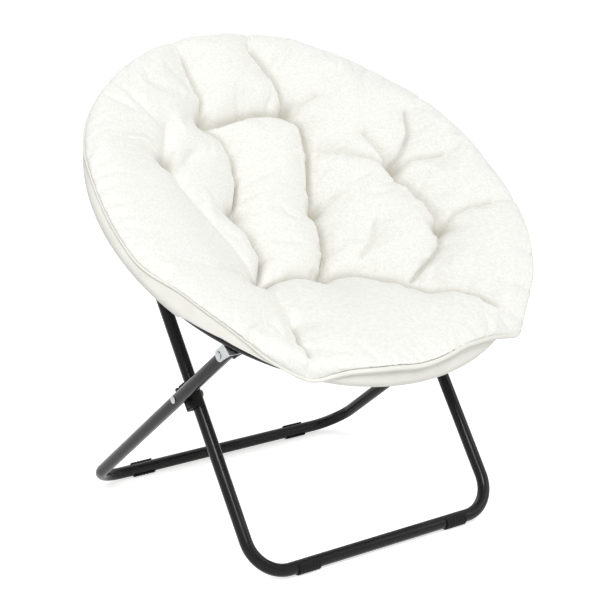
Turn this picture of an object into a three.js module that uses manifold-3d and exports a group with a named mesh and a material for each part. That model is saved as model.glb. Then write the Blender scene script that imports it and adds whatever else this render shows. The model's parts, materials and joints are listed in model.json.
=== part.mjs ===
// Folding saucer chair: two crossed U legs of steel tube, a ring of two hinged arcs and a padded bowl seat.
// Millimetres, +Z up, the sitter faces -Y, left is -X. The origin is under the middle, on the floor.
import * as THREE from 'three';
import { mergeVertices } from 'three/addons/utils/BufferGeometryUtils.js';
import Module from 'manifold-3d';

const wasm = await Module();
wasm.setup();

// Clearances
const seatGap = 0.3; // between two pieces that touch
const pinGap = 0.4; // around a pin in the hole that it turns in
const overrun = 4; // how far a cutter runs past a face

// Steel tube of the legs and the ring
const tubeDiameter = 22;
const tubeWall = 1.2;
const tubeSides = 12;

// Legs
const barSpacing = 513.2; // between the centres of the two floor bars
const barHeight = 14; // from the floor to a bar's centre
const frontLegInset = 129; // of the front leg's uprights, inside the ring's side, centre to centre
const legTubeGap = 9; // between a front and a rear upright where they cross
const legBend = 62; // bend radius on the tube's centre line
const legBendSteps = 8;
const legEndLength = 14; // of tube past the top pivot

// Ring
const ringRadius = 378; // to the tube's centre line
const ringTilt = THREE.MathUtils.degToRad(36.2);
const ringForward = 43.8; // of the ring's centre, from the middle between the bars
const ringHeight = 561.3; // of the ring's centre above the floor
const hingeForward = 140; // of the hinge line, from the ring's centre, in the ring's plane
const ringSteps = 54; // facets round a full ring

// Flattened and riveted ends of the two arcs
const flatSlit = 0.8; // left between the walls of a flattened end
const flatLength = 13; // of flat on each side of the hinge rivet
const flatTipLength = 5; // over which the flat's end is rounded
const flatHeight = 26; // of the end, swaged down and then flattened
const flatTipShare = 0.55; // of the flat's height, left at its tip
const flatTaper = 22; // from the flat to the full round tube
const flatSquareness = 0.35; // exponent of the flattened section, 1 is round

// Clevis brackets under the ring
const plate = 2; // thickness of the bent plate
const earGap = 1; // between an ear and the leg tube
const earRadius = 10.5; // of the ear's round end
const bracketWidth = 24; // along the ear, at the ring tube
const frontPivotDrop = 37; // of the front pivots below the ring's centre line
const frontPivotSetback = 9; // of the front pivots, towards the ring's centre
const rearPivotDrop = 64;

// Pins and rivets
const pinRadius = 4;
const headRadius = 6.5;
const headHeight = 2.4;
const headSide = 0.8; // of the head's rim
const headCrown = 3.8; // radius of the head's flat crown
const pinSides = 10;
const ringRivetRadius = 2.4;
const ringRivetHead = 4.6;
const ringRivetHeadHeight = 1.6;
const ringRivetTail = 3;

// Saddle between the legs at the crossing
const saddleLength = 45;
const saddleWidth = 27;
const saddleCorner = 4.5;
const stopLength = 8; // of each stop lug, along the leg
const stopWidth = 7;
const stopHeight = 6;
const saddleArcSteps = 8;

// Ribbed foot sleeves on the floor bars
const footLength = 44;
const footWall = 2;
const footRibs = 7;
const footRibHeight = 1;
const footOpening = THREE.MathUtils.degToRad(150); // faces along the leg's uprights
const footArcSteps = 3; // on each side of where it stands
const frontFootInset = 10; // of a foot's outer end, from the bar's bend
const rearFootInset = 23;

// Plugs in the legs' top ends
const plugCap = 3;
const plugStem = 8;

// Fabric sling with its sleeve round the ring tube
const fabric = 2.5;
const sleeveEase = 1.5; // between the tube and the sleeve
const sleeveSteps = 7;
const sleeveMouth = THREE.MathUtils.degToRad(205); // where the sling's upper face meets it, from outwards
const sleeveUnderside = THREE.MathUtils.degToRad(238); // where its lower face does
const sleeveHem = THREE.MathUtils.degToRad(526); // where the hem ends, once round
const windowInset = 30; // how far the sleeve is cut back inside the ring's centre line
const windowReach = 20;
const windowHeight = 18; // above the centre line
const windowSteps = 7;
const windowDrop = 60;
const frontWindow = THREE.MathUtils.degToRad(30);
const rearWindow = THREE.MathUtils.degToRad(18);
const hingeBulgeShare = 0.36; // how much taller the sleeve is over the hinge
const hingeBulgeInner = THREE.MathUtils.degToRad(6);
const hingeBulgeOuter = THREE.MathUtils.degToRad(13);
const slingShares = [ // radius and height of the sling's upper face, as shares of the ring's radius
  [0, -0.478], [0.3, -0.442], [0.5, -0.372], [0.68, -0.276], [0.82, -0.174], [0.91, -0.088],
];

// Cushion
const cushionEase = 7.5; // between the ring's sleeve and the cushion above it
const cushionGap = 1; // inside the sleeve
const cushionThroatDrop = 5; // of the cushion's lower corner inside the sleeve
const cushionReach = 12; // of the cushion's edge outside the ring's centre line
const cushionShares = [ // radius and height of its crown at the rim, as shares of the ring's radius
  [0.97, 0.076], [1.005, 0.088], [1.03, 0.078],
];
const sewnRim = 22; // height of the sewn-down face at the rim
const sewnDepth = 168; // of its middle below that
const puffHeight = 42; // from a sewn tuft up to the fullest face around it
const puffTaperShares = [0.62, 1.03]; // of the ring's radius, between which the puffs flatten out to the rim
const puffRoundness = 1.7; // exponent, larger is steeper beside a tuft or fold
const quiltShare = 0.93; // of the ring's radius, the quilted face's own radius
const quiltBlur = 13; // the face is evened out over this distance each way
const tuftWidth = 42;
const tuftShares = { // places of the sewn tufts, as shares of the ring's radius
  topLeft: [-0.183, 0.672],
  topRight: [0.283, 0.667],
  sideLeft: [-0.516, 0.418],
  sideRight: [0.667, 0.225],
  backLeft: [-0.188, 0.22],
  backRight: [0.254, 0.177],
  lowRight: [0.696, -0.193],
  lowLeft: [-0.693, -0.164],
  seatLeft: [-0.267, -0.201],
  seatRight: [0.09, -0.198],
};
const channelWidth = 52; // from the bottom of a channel to full height
const channelDepthShare = 0.95; // of the puffs
const channelShares = [ // channels between tufts, and the crease between seat and back
  [tuftShares.topLeft, tuftShares.topRight],
  [tuftShares.topLeft, [-0.08, 0.495], [-0.09, 0.39], tuftShares.backLeft],
  [tuftShares.backLeft, [-0.155, -0.04], tuftShares.seatLeft],
  [tuftShares.topRight, [0.325, 0.444], tuftShares.backRight],
  [tuftShares.backRight, [0.18, -0.066], tuftShares.seatRight],
  [tuftShares.seatLeft, tuftShares.seatRight, [0.23, -0.235], [0.39, -0.384], [0.563, -0.667],
    [0.537, -0.884]],
];
const creaseWidth = 44;
const creaseDepthShare = 0.62;
const creaseShares = [ // folds that run out from the tufts
  [tuftShares.topLeft, [-0.19, 0.836], [-0.222, 0.926]],
  [tuftShares.topRight, [0.249, 0.825], [0.151, 0.966]],
  [tuftShares.sideLeft, [-0.405, 0.431], [-0.251, 0.553]],
  [tuftShares.sideLeft, [-0.415, 0.19], [-0.354, 0.066], tuftShares.seatLeft],
  [tuftShares.sideLeft, [-0.693, 0.72]],
  [tuftShares.sideRight, [0.794, 0.344], [0.815, 0.444]],
  [tuftShares.sideRight, [0.653, 0.148], [0.709, -0.026], tuftShares.lowRight],
  [tuftShares.lowRight, [0.918, -0.196]],
  [tuftShares.lowRight, [0.508, -0.36]],
  [tuftShares.lowLeft, [-0.397, -0.19], tuftShares.seatLeft],
  [tuftShares.lowLeft, [-0.661, 0.185], tuftShares.sideLeft],
  [tuftShares.seatLeft, [-0.37, -0.569], [-0.569, -0.841]],
];

// Piping along the seam between the plush and the backing
const pipingRadius = 2.5;
const pipingAngle = THREE.MathUtils.degToRad(52); // of its seat on the sleeve, up from outwards
const pipingSides = 6;

// Materials
const powderCoat = { color: 0x1d1d1f, roughness: 0.42, metalness: 0.35 };
const zinc = { color: 0xc6ced2, roughness: 0.35, metalness: 0.85 };
const blackPlastic = { color: 0x1a1a1b, roughness: 0.6, metalness: 0 };
const backing = { color: 0xe9e7df, roughness: 0.9, metalness: 0 };
const plush = { color: 0xf3f0ea, roughness: 1, metalness: 0 };

// Places that follow from the sizes above
const tubeRadius = tubeDiameter / 2;
const frontLegX = ringRadius - frontLegInset;
const rearLegX = frontLegX + tubeDiameter + legTubeGap;
const hingeX = Math.sqrt(ringRadius ** 2 - hingeForward ** 2);
const hingeAngle = Math.asin(hingeForward / ringRadius);
const sleeveInner = tubeRadius + sleeveEase;
const sleeveFacet = (sleeveHem - sleeveMouth) / sleeveSteps;
const sleeveOuter = boreRadius(sleeveInner + fabric, sleeveFacet);
const flatThickness = 2 * tubeWall + flatSlit;
const frontFootOffset = frontLegX - legBend - frontFootInset - footLength / 2;
const rearFootOffset = rearLegX - legBend - rearFootInset - footLength / 2;
const earOuter = tubeRadius + earGap + plate; // from a leg tube's centre to an ear's outer face

// Ring coordinates: x across, y up the slope in the ring's plane, z square to it
const frontPivot = new THREE.Vector2(
  -Math.sqrt(ringRadius ** 2 - rearLegX ** 2) + frontPivotSetback,
  -frontPivotDrop,
);
const rearPivot = new THREE.Vector2(Math.sqrt(ringRadius ** 2 - frontLegX ** 2), -rearPivotDrop);

// Chair coordinates as (y, z)
function fromRing(point) {
  const turned = point.clone().rotateAround(new THREE.Vector2(), ringTilt);
  return turned.add(new THREE.Vector2(-ringForward, ringHeight));
}
const frontBar = new THREE.Vector2(-barSpacing / 2, barHeight);
const rearBar = new THREE.Vector2(barSpacing / 2, barHeight);
const frontLegVector = fromRing(rearPivot).sub(frontBar);
const rearLegVector = fromRing(frontPivot).sub(rearBar);
const frontLegLength = frontLegVector.length();
const rearLegLength = rearLegVector.length();
const barVector = rearBar.clone().sub(frontBar);
const crossing = rearLegVector.cross(frontLegVector);
const frontCrossing = frontLegLength * rearLegVector.cross(barVector) / crossing;
const rearCrossing = rearLegLength * frontLegVector.cross(barVector) / crossing;

// A faceted bore is drawn this much larger, so that its flats clear what lies in it
function boreRadius(radius, facetAngle) {
  return radius / Math.cos(facetAngle / 2);
}

// Geometry helpers
function bare(geometry) {
  const copy = geometry.clone();
  copy.deleteAttribute('normal');
  copy.deleteAttribute('uv');
  const merged = mergeVertices(copy);
  const place = merged.attributes.position;
  const corner = (i) => new THREE.Vector3().fromBufferAttribute(place, i);
  const faces = [];
  let volume = 0;
  for (let i = 0; i < merged.index.count; i += 3) {
    const [a, b, c] = merged.index.array.slice(i, i + 3);
    if (a !== b && b !== c && c !== a) {
      faces.push([a, b, c]);
      volume += corner(a).dot(corner(b).cross(corner(c)));
    }
  }
  merged.setIndex(faces.flatMap(([a, b, c]) => (volume > 0 ? [a, b, c] : [a, c, b])));
  return merged;
}

function solid(geometry) {
  const merged = bare(geometry);
  return new wasm.Manifold(new wasm.Mesh({
    numProp: 3,
    vertProperties: Float32Array.from(merged.attributes.position.array),
    triVerts: Uint32Array.from(merged.index.array),
  }));
}

function geometryOf(manifold) {
  const mesh = manifold.getMesh();
  const geometry = new THREE.BufferGeometry();
  geometry.setAttribute('position', new THREE.BufferAttribute(mesh.vertProperties, 3));
  geometry.setIndex(new THREE.BufferAttribute(mesh.triVerts, 1));
  return geometry;
}

function cut(geometry, cutters) {
  const body = cutters.reduce((rest, cutter) => rest.subtract(solid(cutter)), solid(geometry));
  return geometryOf(body);
}

function join(geometries) {
  return geometryOf(geometries.map(solid).reduce((sum, next) => sum.add(next)));
}

function mirrored(geometry) {
  return bare(geometry.clone().scale(-1, 1, 1));
}

// Skins equal rings of points. With a contour, flat caps close the ends, else the last ring meets the first.
function loft(rings, contour) {
  const count = rings[0].length;
  const index = [];
  const bands = contour ? rings.length - 1 : rings.length;
  for (let i = 0; i < bands; i++) {
    const near = i * count;
    const far = ((i + 1) % rings.length) * count;
    for (let j = 0; j < count; j++) {
      const k = (j + 1) % count;
      index.push(near + j, near + k, far + k, near + j, far + k, far + j);
    }
  }
  if (contour) {
    const last = (rings.length - 1) * count;
    for (const [a, b, c] of THREE.ShapeUtils.triangulateShape(contour, [])) {
      index.push(a, c, b, last + a, last + b, last + c);
    }
  }
  const geometry = new THREE.BufferGeometry().setFromPoints(rings.flat());
  geometry.setIndex(index);
  return geometry;
}

// A hollow tube with open ends through stations of { centre, across, up, width, height, square }.
function hollowTube(stations) {
  const ring = (station, wall) => Array.from({ length: tubeSides }, (_, i) => {
    const angle = i / tubeSides * 2 * Math.PI;
    const bend = (value) => Math.sign(value) * Math.abs(value) ** station.square;
    return station.centre.clone()
      .addScaledVector(station.across, (station.width / 2 - wall) * bend(Math.cos(angle)))
      .addScaledVector(station.up, (station.height / 2 - wall) * bend(Math.sin(angle)));
  });
  const outer = stations.map((station) => ring(station, 0));
  const inner = stations.map((station) => ring(station, tubeWall)).reverse();
  return loft([...outer, ...inner]);
}

function roundStation(centre, across, up) {
  return { centre, across, up, width: tubeDiameter, height: tubeDiameter, square: 1 };
}

// Pieces that turn about X: a profile of (radius, x) pairs from the axis back to the axis
function turnedAboutX(profile, sides) {
  const points = profile.map(([radius, x]) => new THREE.Vector2(radius, x));
  return new THREE.LatheGeometry(points, sides).rotateZ(-Math.PI / 2);
}

function holeAlongX(radius, from, to) {
  const length = to - from + 2 * overrun;
  return new THREE.CylinderGeometry(radius, radius, length, pinSides)
    .rotateZ(Math.PI / 2)
    .translate((from + to) / 2, 0, 0);
}

// A pin from x = from to x = to between the two inner faces of its heads
function headedPin(from, to) {
  return turnedAboutX([
    [0, from - headHeight], [headCrown, from - headHeight], [headRadius, from - headSide],
    [headRadius, from], [pinRadius, from], [pinRadius, to],
    [headRadius, to], [headRadius, to + headSide], [headCrown, to + headHeight],
    [0, to + headHeight],
  ], pinSides);
}

// Half a rivet: one head, and a shank that ends flush with the inner face of what carries it
function headedStub(shank) {
  return turnedAboutX([
    [0, -shank], [pinRadius, -shank], [pinRadius, 0], [headRadius, 0],
    [headRadius, headSide], [headCrown, headHeight], [0, headHeight],
  ], pinSides);
}

function mesh(name, geometry, look) {
  const clean = bare(geometry);
  clean.computeVertexNormals();
  const piece = new THREE.Mesh(clean, new THREE.MeshStandardMaterial(look));
  piece.name = name;
  return piece;
}

function addPair(group, name, geometry, look) {
  group.add(mesh(`${name}_right`, geometry, look));
  group.add(mesh(`${name}_left`, mirrored(geometry), look));
}

// Legs: in a leg's own plane, x across, y up the leg from the bar's centre
function legTube(halfWidth, length, pivots) {
  const top = length + legEndLength;
  const inset = halfWidth - legBend;
  const curves = [
    new THREE.LineCurve(new THREE.Vector2(-halfWidth, top), new THREE.Vector2(-halfWidth, legBend)),
    new THREE.ArcCurve(-inset, legBend, legBend, Math.PI, 1.5 * Math.PI, false),
    new THREE.LineCurve(new THREE.Vector2(-inset, 0), new THREE.Vector2(inset, 0)),
    new THREE.ArcCurve(inset, legBend, legBend, 1.5 * Math.PI, 2 * Math.PI, false),
    new THREE.LineCurve(new THREE.Vector2(halfWidth, legBend), new THREE.Vector2(halfWidth, top)),
  ];
  const up = new THREE.Vector3(0, 0, 1);
  const stations = [];
  curves.forEach((curve, c) => {
    const steps = curve.isLineCurve ? 1 : legBendSteps;
    for (let i = c ? 1 : 0; i <= steps; i++) {
      const point = curve.getPoint(i / steps);
      const along = curve.getTangent(i / steps);
      const across = up.clone().cross(new THREE.Vector3(along.x, along.y, 0));
      stations.push(roundStation(new THREE.Vector3(point.x, point.y, 0), across, up));
    }
  });
  const holes = pivots.map((height) => holeAlongX(pinRadius + pinGap, -halfWidth - tubeRadius,
    halfWidth + tubeRadius).translate(0, height, 0));
  return cut(hollowTube(stations), holes);
}

function legPlug(halfWidth, length) {
  const stem = tubeRadius - tubeWall - seatGap;
  const profile = [
    [0, -plugStem], [stem, -plugStem], [stem, 0], [tubeRadius, 0],
    [tubeRadius, plugCap / 2], [tubeRadius - plugCap / 2, plugCap], [0, plugCap],
  ].map(([radius, y]) => new THREE.Vector2(radius, y));
  return new THREE.LatheGeometry(profile, tubeSides)
    .translate(halfWidth, length + legEndLength + seatGap, 0);
}

// A C-shaped sleeve round a floor bar, ribbed along x and flattened where it stands
function footSleeve(offset, facing) {
  const down = 1.5 * Math.PI;
  const arcs = [facing + footOpening / 2, down, facing + 2 * Math.PI - footOpening / 2];
  const angles = [arcs[0]];
  for (let i = 1; i < arcs.length; i++) {
    for (let j = 1; j <= footArcSteps; j++) {
      angles.push(THREE.MathUtils.lerp(arcs[i - 1], arcs[i], j / footArcSteps));
    }
  }
  const widest = Math.max(arcs[1] - arcs[0], arcs[2] - arcs[1]) / footArcSteps;
  const inner = boreRadius(tubeRadius + seatGap, widest);
  const section = (radius) => {
    const arc = (r) => angles.map((angle) => (
      new THREE.Vector2(r * Math.cos(angle), Math.max(r * Math.sin(angle), -barHeight))
    ));
    return [...arc(radius), ...arc(inner).reverse()];
  };
  const valley = inner + footWall;
  const stations = 2 * footRibs + 1;
  const rings = Array.from({ length: stations }, (_, i) => {
    const x = offset + footLength * (i / (stations - 1) - 0.5);
    const radius = i % 2 ? valley + footRibHeight : valley;
    return section(radius).map((point) => new THREE.Vector3(x, point.x, point.y));
  });
  return loft(rings, section(valley));
}

// The saddle hugs the front leg's upright and spaces the rear leg's upright off it
function crossingSaddle() {
  const bore = boreRadius(tubeRadius + seatGap, Math.PI / saddleArcSteps);
  const face = tubeRadius + legTubeGap - seatGap;
  const half = saddleWidth / 2;
  const shape = new THREE.Shape();
  shape.moveTo(0, half);
  shape.lineTo(0, bore);
  shape.absarc(0, 0, bore, Math.PI / 2, -Math.PI / 2, true);
  shape.lineTo(0, -half);
  shape.lineTo(face - saddleCorner, -half);
  shape.lineTo(face, -half + saddleCorner);
  shape.lineTo(face, half - saddleCorner);
  shape.lineTo(face - saddleCorner, half);
  shape.closePath();
  const block = new THREE.ExtrudeGeometry(shape, {
    depth: saddleLength, bevelEnabled: false, curveSegments: saddleArcSteps,
  });
  block.translate(0, 0, -saddleLength / 2).rotateX(-Math.PI / 2);
  const lean = Math.abs(half * frontLegVector.dot(rearLegVector) / crossing);
  const lug = (way) => new THREE.BoxGeometry(2 * stopHeight, stopLength, stopWidth)
    .translate(face, way * (tubeRadius + pinGap + lean + stopLength / 2), -way * (half - stopWidth / 2));
  const hole = holeAlongX(pinRadius + pinGap, 0, face);
  return cut(join([block, lug(1), lug(-1)]), [hole]).translate(frontLegX, frontCrossing, 0);
}

const frontLeg = new THREE.Group();
frontLeg.position.set(0, frontBar.x, frontBar.y);
frontLeg.rotation.x = frontLegVector.angle();
frontLeg.add(mesh('front_leg_tube', legTube(frontLegX, frontLegLength, [frontCrossing, frontLegLength]),
  powderCoat));
addPair(frontLeg, 'front_leg_plug', legPlug(frontLegX, frontLegLength), blackPlastic);
addPair(frontLeg, 'crossing_saddle', crossingSaddle(), blackPlastic);
addPair(frontLeg, 'crossing_rivet', headedPin(frontLegX - tubeRadius - seatGap,
  rearLegX + tubeRadius + seatGap).translate(0, frontCrossing, 0), zinc);

const rearLeg = new THREE.Group();
rearLeg.position.set(0, rearBar.x, rearBar.y);
rearLeg.rotation.x = rearLegVector.angle();
rearLeg.add(mesh('rear_leg_tube', legTube(rearLegX, rearLegLength, [rearCrossing, rearLegLength]),
  powderCoat));
addPair(rearLeg, 'rear_leg_plug', legPlug(rearLegX, rearLegLength), blackPlastic);

const frontFeet = new THREE.Group();
frontFeet.position.set(0, frontBar.x, frontBar.y);
addPair(frontFeet, 'front_foot', footSleeve(frontFootOffset, frontLegVector.angle()), blackPlastic);
const rearFeet = new THREE.Group();
rearFeet.position.set(0, rearBar.x, rearBar.y);
addPair(rearFeet, 'rear_foot', footSleeve(rearFootOffset, rearLegVector.angle()), blackPlastic);

// Ring arcs: each end is pressed flat beside the other arc's end, square to the hinge line
function flattenedEnd(side, way) {
  const across = new THREE.Vector3(side, 0, 0);
  const up = new THREE.Vector3(0, 0, 1);
  const x = hingeX + way * (flatThickness + seatGap) / 2;
  const flat = (along, share) => ({
    centre: new THREE.Vector3(side * x, -hingeForward + way * along, 0),
    across,
    up,
    width: flatThickness,
    height: flatHeight * share,
    square: flatSquareness,
  });
  return [flat(-flatLength, flatTipShare), flat(-flatLength + flatTipLength, 1), flat(flatLength, 1)];
}

function ringArc(way, from, to) {
  const up = new THREE.Vector3(0, 0, 1);
  const step = 2 * Math.PI / ringSteps;
  const round = (angle) => {
    const out = new THREE.Vector3(Math.cos(angle), Math.sin(angle), 0);
    return roundStation(out.clone().multiplyScalar(ringRadius), out, up);
  };
  const angles = [from];
  for (let i = Math.floor(from / step) + 1; i * step < to; i++) angles.push(i * step);
  const stations = [...angles, to].map(round);
  const right = flattenedEnd(1, way);
  const left = flattenedEnd(-1, way);
  return way > 0 ? [...right, ...stations, ...left.reverse()] : [...left, ...stations, ...right.reverse()];
}

// way is 1 for the rear arc, whose flats lie outside, and -1 for the front arc
function ringTube(way, legX, tubeY) {
  const taper = (flatLength + flatTaper) / ringRadius;
  const from = way > 0 ? taper - hingeAngle : Math.PI + hingeAngle + taper;
  const to = way > 0 ? Math.PI + hingeAngle - taper : 2 * Math.PI - hingeAngle - taper;
  const pinHole = holeAlongX(pinRadius + pinGap, -hingeX - tubeRadius, hingeX + tubeRadius)
    .translate(0, -hingeForward, 0);
  const rivetHole = (x) => new THREE.CylinderGeometry(ringRivetRadius + seatGap, ringRivetRadius + seatGap,
    tubeRadius, pinSides).rotateX(Math.PI / 2).translate(x, tubeY, -tubeRadius);
  return cut(hollowTube(ringArc(way, from, to)), [pinHole, rivetHole(legX), rivetHole(-legX)]);
}

// A clevis: one bent plate, its web under the ring tube, an ear on each side of the leg
function clevis(legX, tubeY, pivot) {
  const top = -tubeRadius - seatGap;
  const outline = new THREE.Shape();
  outline.moveTo(tubeY + bracketWidth / 2, top);
  outline.lineTo(tubeY - bracketWidth / 2, top);
  outline.lineTo(tubeY - bracketWidth / 2, top - plate);
  outline.lineTo(pivot.x - earRadius, pivot.y);
  outline.absarc(pivot.x, pivot.y, earRadius, Math.PI, 2 * Math.PI);
  outline.lineTo(tubeY + bracketWidth / 2, top - plate);
  outline.closePath();
  const block = new THREE.ExtrudeGeometry(outline, {
    depth: 2 * earOuter, bevelEnabled: false, curveSegments: saddleArcSteps,
  });
  const stand = new THREE.Matrix4().makeBasis(
    new THREE.Vector3(0, 1, 0), new THREE.Vector3(0, 0, 1), new THREE.Vector3(1, 0, 0));
  block.translate(0, 0, -earOuter).applyMatrix4(stand);
  const depth = Math.abs(pivot.y) + earRadius;
  const length = bracketWidth + earRadius + Math.abs(pivot.x - tubeY);
  const slot = new THREE.BoxGeometry(2 * (tubeRadius + earGap), 2 * length, depth)
    .translate(0, tubeY, top - plate - depth / 2);
  const pinHole = holeAlongX(pinRadius + seatGap, -earOuter, earOuter).translate(0, pivot.x, pivot.y);
  const rivetHole = new THREE.CylinderGeometry(ringRivetRadius + seatGap, ringRivetRadius + seatGap,
    plate + 2 * overrun, pinSides).rotateX(Math.PI / 2).translate(0, tubeY, top - plate / 2);
  return cut(block, [slot, pinHole, rivetHole]).translate(legX, 0, 0);
}

// A blind rivet up through a clevis's web into the ring tube
function ringRivet(x, y) {
  const web = -tubeRadius - seatGap - plate;
  const tail = plate + tubeWall + ringRivetTail;
  const profile = [
    [0, -ringRivetHeadHeight], [ringRivetHead - ringRivetHeadHeight, -ringRivetHeadHeight],
    [ringRivetHead, 0], [ringRivetRadius, 0], [ringRivetRadius, tail], [0, tail],
  ].map(([radius, z]) => new THREE.Vector2(radius, z));
  return new THREE.LatheGeometry(profile, pinSides).rotateX(Math.PI / 2)
    .translate(x, y, web - seatGap);
}

// Soft pieces: turned about the ring's axis, then shaped
function hingeBulge(x, y) {
  const angle = Math.atan2(y, Math.abs(x));
  return 1 - THREE.MathUtils.smoothstep(Math.abs(angle + hingeAngle), hingeBulgeInner, hingeBulgeOuter);
}

// Each point is moved by move(point, its place in the profile)
function turnedSoft(profile, move) {
  const points = profile.map(([radius, z]) => new THREE.Vector2(radius, z));
  const geometry = new THREE.LatheGeometry(points, ringSteps).rotateX(Math.PI / 2);
  const place = geometry.attributes.position;
  for (let i = 0; i < place.count; i++) {
    const point = new THREE.Vector3().fromBufferAttribute(place, i);
    place.setXYZ(i, ...move(point, i % points.length).toArray());
  }
  return geometry;
}

// The two parts of a soft piece, cut apart along the hinge line
function frontAndRear(geometry) {
  const side = 4 * ringRadius;
  const half = (way) => new THREE.BoxGeometry(side, side, side)
    .translate(0, -hingeForward + way * (side - seatGap) / 2, 0);
  return { front: cut(geometry, [half(1)]), rear: cut(geometry, [half(-1)]) };
}

// A sector of the sleeve that is cut away round a bracket
function sleeveWindow(middle, width) {
  const sector = new THREE.Shape();
  sector.absarc(0, 0, ringRadius + windowReach, middle - width / 2, middle + width / 2);
  sector.absarc(0, 0, ringRadius - windowInset, middle + width / 2, middle - width / 2, true);
  return new THREE.ExtrudeGeometry(sector, {
    depth: windowDrop + windowHeight, bevelEnabled: false, curveSegments: windowSteps,
  }).translate(0, 0, -windowDrop);
}

function slingBody() {
  const upper = slingShares.map(([radius, height]) => [radius * ringRadius, height * ringRadius]);
  const lower = upper.map(([radius, height]) => [radius, height - fabric]);
  const onHoop = (radius, angle) => [ringRadius + radius * Math.cos(angle), radius * Math.sin(angle)];
  const hoop = (radius, from, to) => Array.from({ length: sleeveSteps + 1 }, (_, i) => (
    onHoop(radius, from + (to - from) * i / sleeveSteps)
  ));
  const outside = hoop(sleeveOuter, sleeveUnderside, sleeveHem);
  const inside = hoop(boreRadius(sleeveInner, sleeveFacet), sleeveHem, sleeveMouth);
  const root = onHoop(sleeveOuter, sleeveMouth);
  const profile = [...lower, ...outside, ...inside, root, ...upper.reverse()];
  const onSleeve = (j) => j >= lower.length && j < profile.length - upper.length;
  return turnedSoft(profile, (point, j) => {
    const taller = onSleeve(j) ? hingeBulgeShare * hingeBulge(point.x, point.y) : 0;
    return point.setZ(point.z * (1 + taller));
  });
}

// How full the cushion is at a place, from 0 at a tuft to 1
function fullness(x, y) {
  const place = new THREE.Vector2(x, y);
  const onRing = (share) => new THREE.Vector2(...share).multiplyScalar(ringRadius);
  const toLine = (points) => Math.min(...points.slice(1).map((b, i) => {
    const along = b.clone().sub(points[i]);
    const t = THREE.MathUtils.clamp(place.clone().sub(points[i]).dot(along) / along.lengthSq(), 0, 1);
    return place.distanceTo(points[i].clone().addScaledVector(along, t));
  }));
  const kept = (distance, width, depth) => 1 - depth * Math.max(1 - distance / width, 0) ** puffRoundness;
  let full = 1;
  for (const share of Object.values(tuftShares)) full *= kept(place.distanceTo(onRing(share)), tuftWidth, 1);
  for (const [shares, width, depth] of [
    [channelShares, channelWidth, channelDepthShare], [creaseShares, creaseWidth, creaseDepthShare],
  ]) {
    for (const line of shares) full *= kept(toLine(line.map(onRing)), width, depth);
  }
  return full;
}

function faceHeight(x, y) {
  const steps = [-quiltBlur, 0, quiltBlur];
  let full = 0;
  for (const dx of steps) {
    for (const dy of steps) full += fullness(x + dx, y + dy) / steps.length ** 2;
  }
  const radius = Math.hypot(x, y);
  const taper = 1 - THREE.MathUtils.smoothstep(radius / ringRadius, ...puffTaperShares);
  return sewnRim - sewnDepth * (1 - (radius / ringRadius) ** 2) + puffHeight * taper * full;
}

// The quilted face is a grid whose square rings become circles, so that its cells are alike all over.
// It closes a turned body: every second point of its edge faces a point of that body's last ring.
function closeWithQuilt(body, profileLength) {
  const cells = ringSteps / 2;
  const place = [...body.attributes.position.array];
  const faces = [...body.index.array];
  const first = place.length / 3;
  const at = (i, j) => first + i * (cells + 1) + j;
  for (let i = 0; i <= cells; i++) {
    for (let j = 0; j <= cells; j++) {
      const [a, b] = [i, j].map((k) => 2 * k / cells - 1);
      const [along, aside, quarter] = Math.abs(a) > Math.abs(b) ? [a, b, 0] : [b, -a, 1];
      const turn = Math.PI / 4 * (aside / along + 2 * quarter + 1 / cells) + (along < 0 ? Math.PI : 0);
      const radius = Math.abs(along) * quiltShare * ringRadius;
      const [x, y] = [radius * Math.cos(turn), radius * Math.sin(turn)];
      place.push(x, y, faceHeight(x, y));
      if (i < cells && j < cells) faces.push(at(i, j), at(i + 1, j), at(i, j + 1));
      if (i > 0 && j > 0) faces.push(at(i, j), at(i - 1, j), at(i, j - 1));
    }
  }
  const run = Array.from({ length: cells }, (_, k) => k);
  const edge = [
    ...run.map((k) => at(cells, k)), ...run.map((k) => at(cells - k, cells)),
    ...run.map((k) => at(0, cells - k)), ...run.map((k) => at(k, 0)),
  ];
  const start = edge.length - (cells + 1) / 2;
  for (let k = 0; k < ringSteps; k++) {
    const [near, middle, far] = [0, 1, 2].map((step) => edge[(start + 2 * k + step) % edge.length]);
    const [outer, next] = [k + 1, k + 2].map((columns) => columns * profileLength - 1);
    faces.push(near, outer, middle, outer, next, middle, middle, next, far);
  }
  const closed = new THREE.BufferGeometry();
  closed.setAttribute('position', new THREE.Float32BufferAttribute(place, 3));
  closed.setIndex(faces);
  return closed;
}

function cushionBody() {
  const lift = sleeveOuter + cushionEase;
  const throat = ringRadius - sleeveOuter - cushionGap;
  const lower = slingShares.map(([radius, height]) => [radius * ringRadius, height * ringRadius + seatGap]);
  const rim = [
    [throat, -cushionThroatDrop], [throat, lift], [ringRadius, lift], [ringRadius + cushionReach, lift],
  ];
  const upper = cushionShares.map(([radius, height]) => [radius * ringRadius, height * ringRadius]);
  const profile = [...lower, ...rim, ...upper.reverse()];
  return closeWithQuilt(turnedSoft(profile, (point) => point), profile.length);
}

function pipingBody() {
  const seat = sleeveOuter + seatGap + pipingRadius;
  const rings = Array.from({ length: ringSteps }, (_, i) => {
    const angle = i / ringSteps * 2 * Math.PI;
    const out = new THREE.Vector3(Math.cos(angle), Math.sin(angle), 0);
    const rise = seat * Math.sin(pipingAngle) * (1 + hingeBulgeShare * hingeBulge(out.x, out.y));
    return Array.from({ length: pipingSides }, (_, j) => {
      const turn = j / pipingSides * 2 * Math.PI;
      return out.clone()
        .multiplyScalar(ringRadius + seat * Math.cos(pipingAngle) + pipingRadius * Math.cos(turn))
        .setZ(rise + pipingRadius * Math.sin(turn));
    });
  });
  return loft(rings);
}

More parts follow.
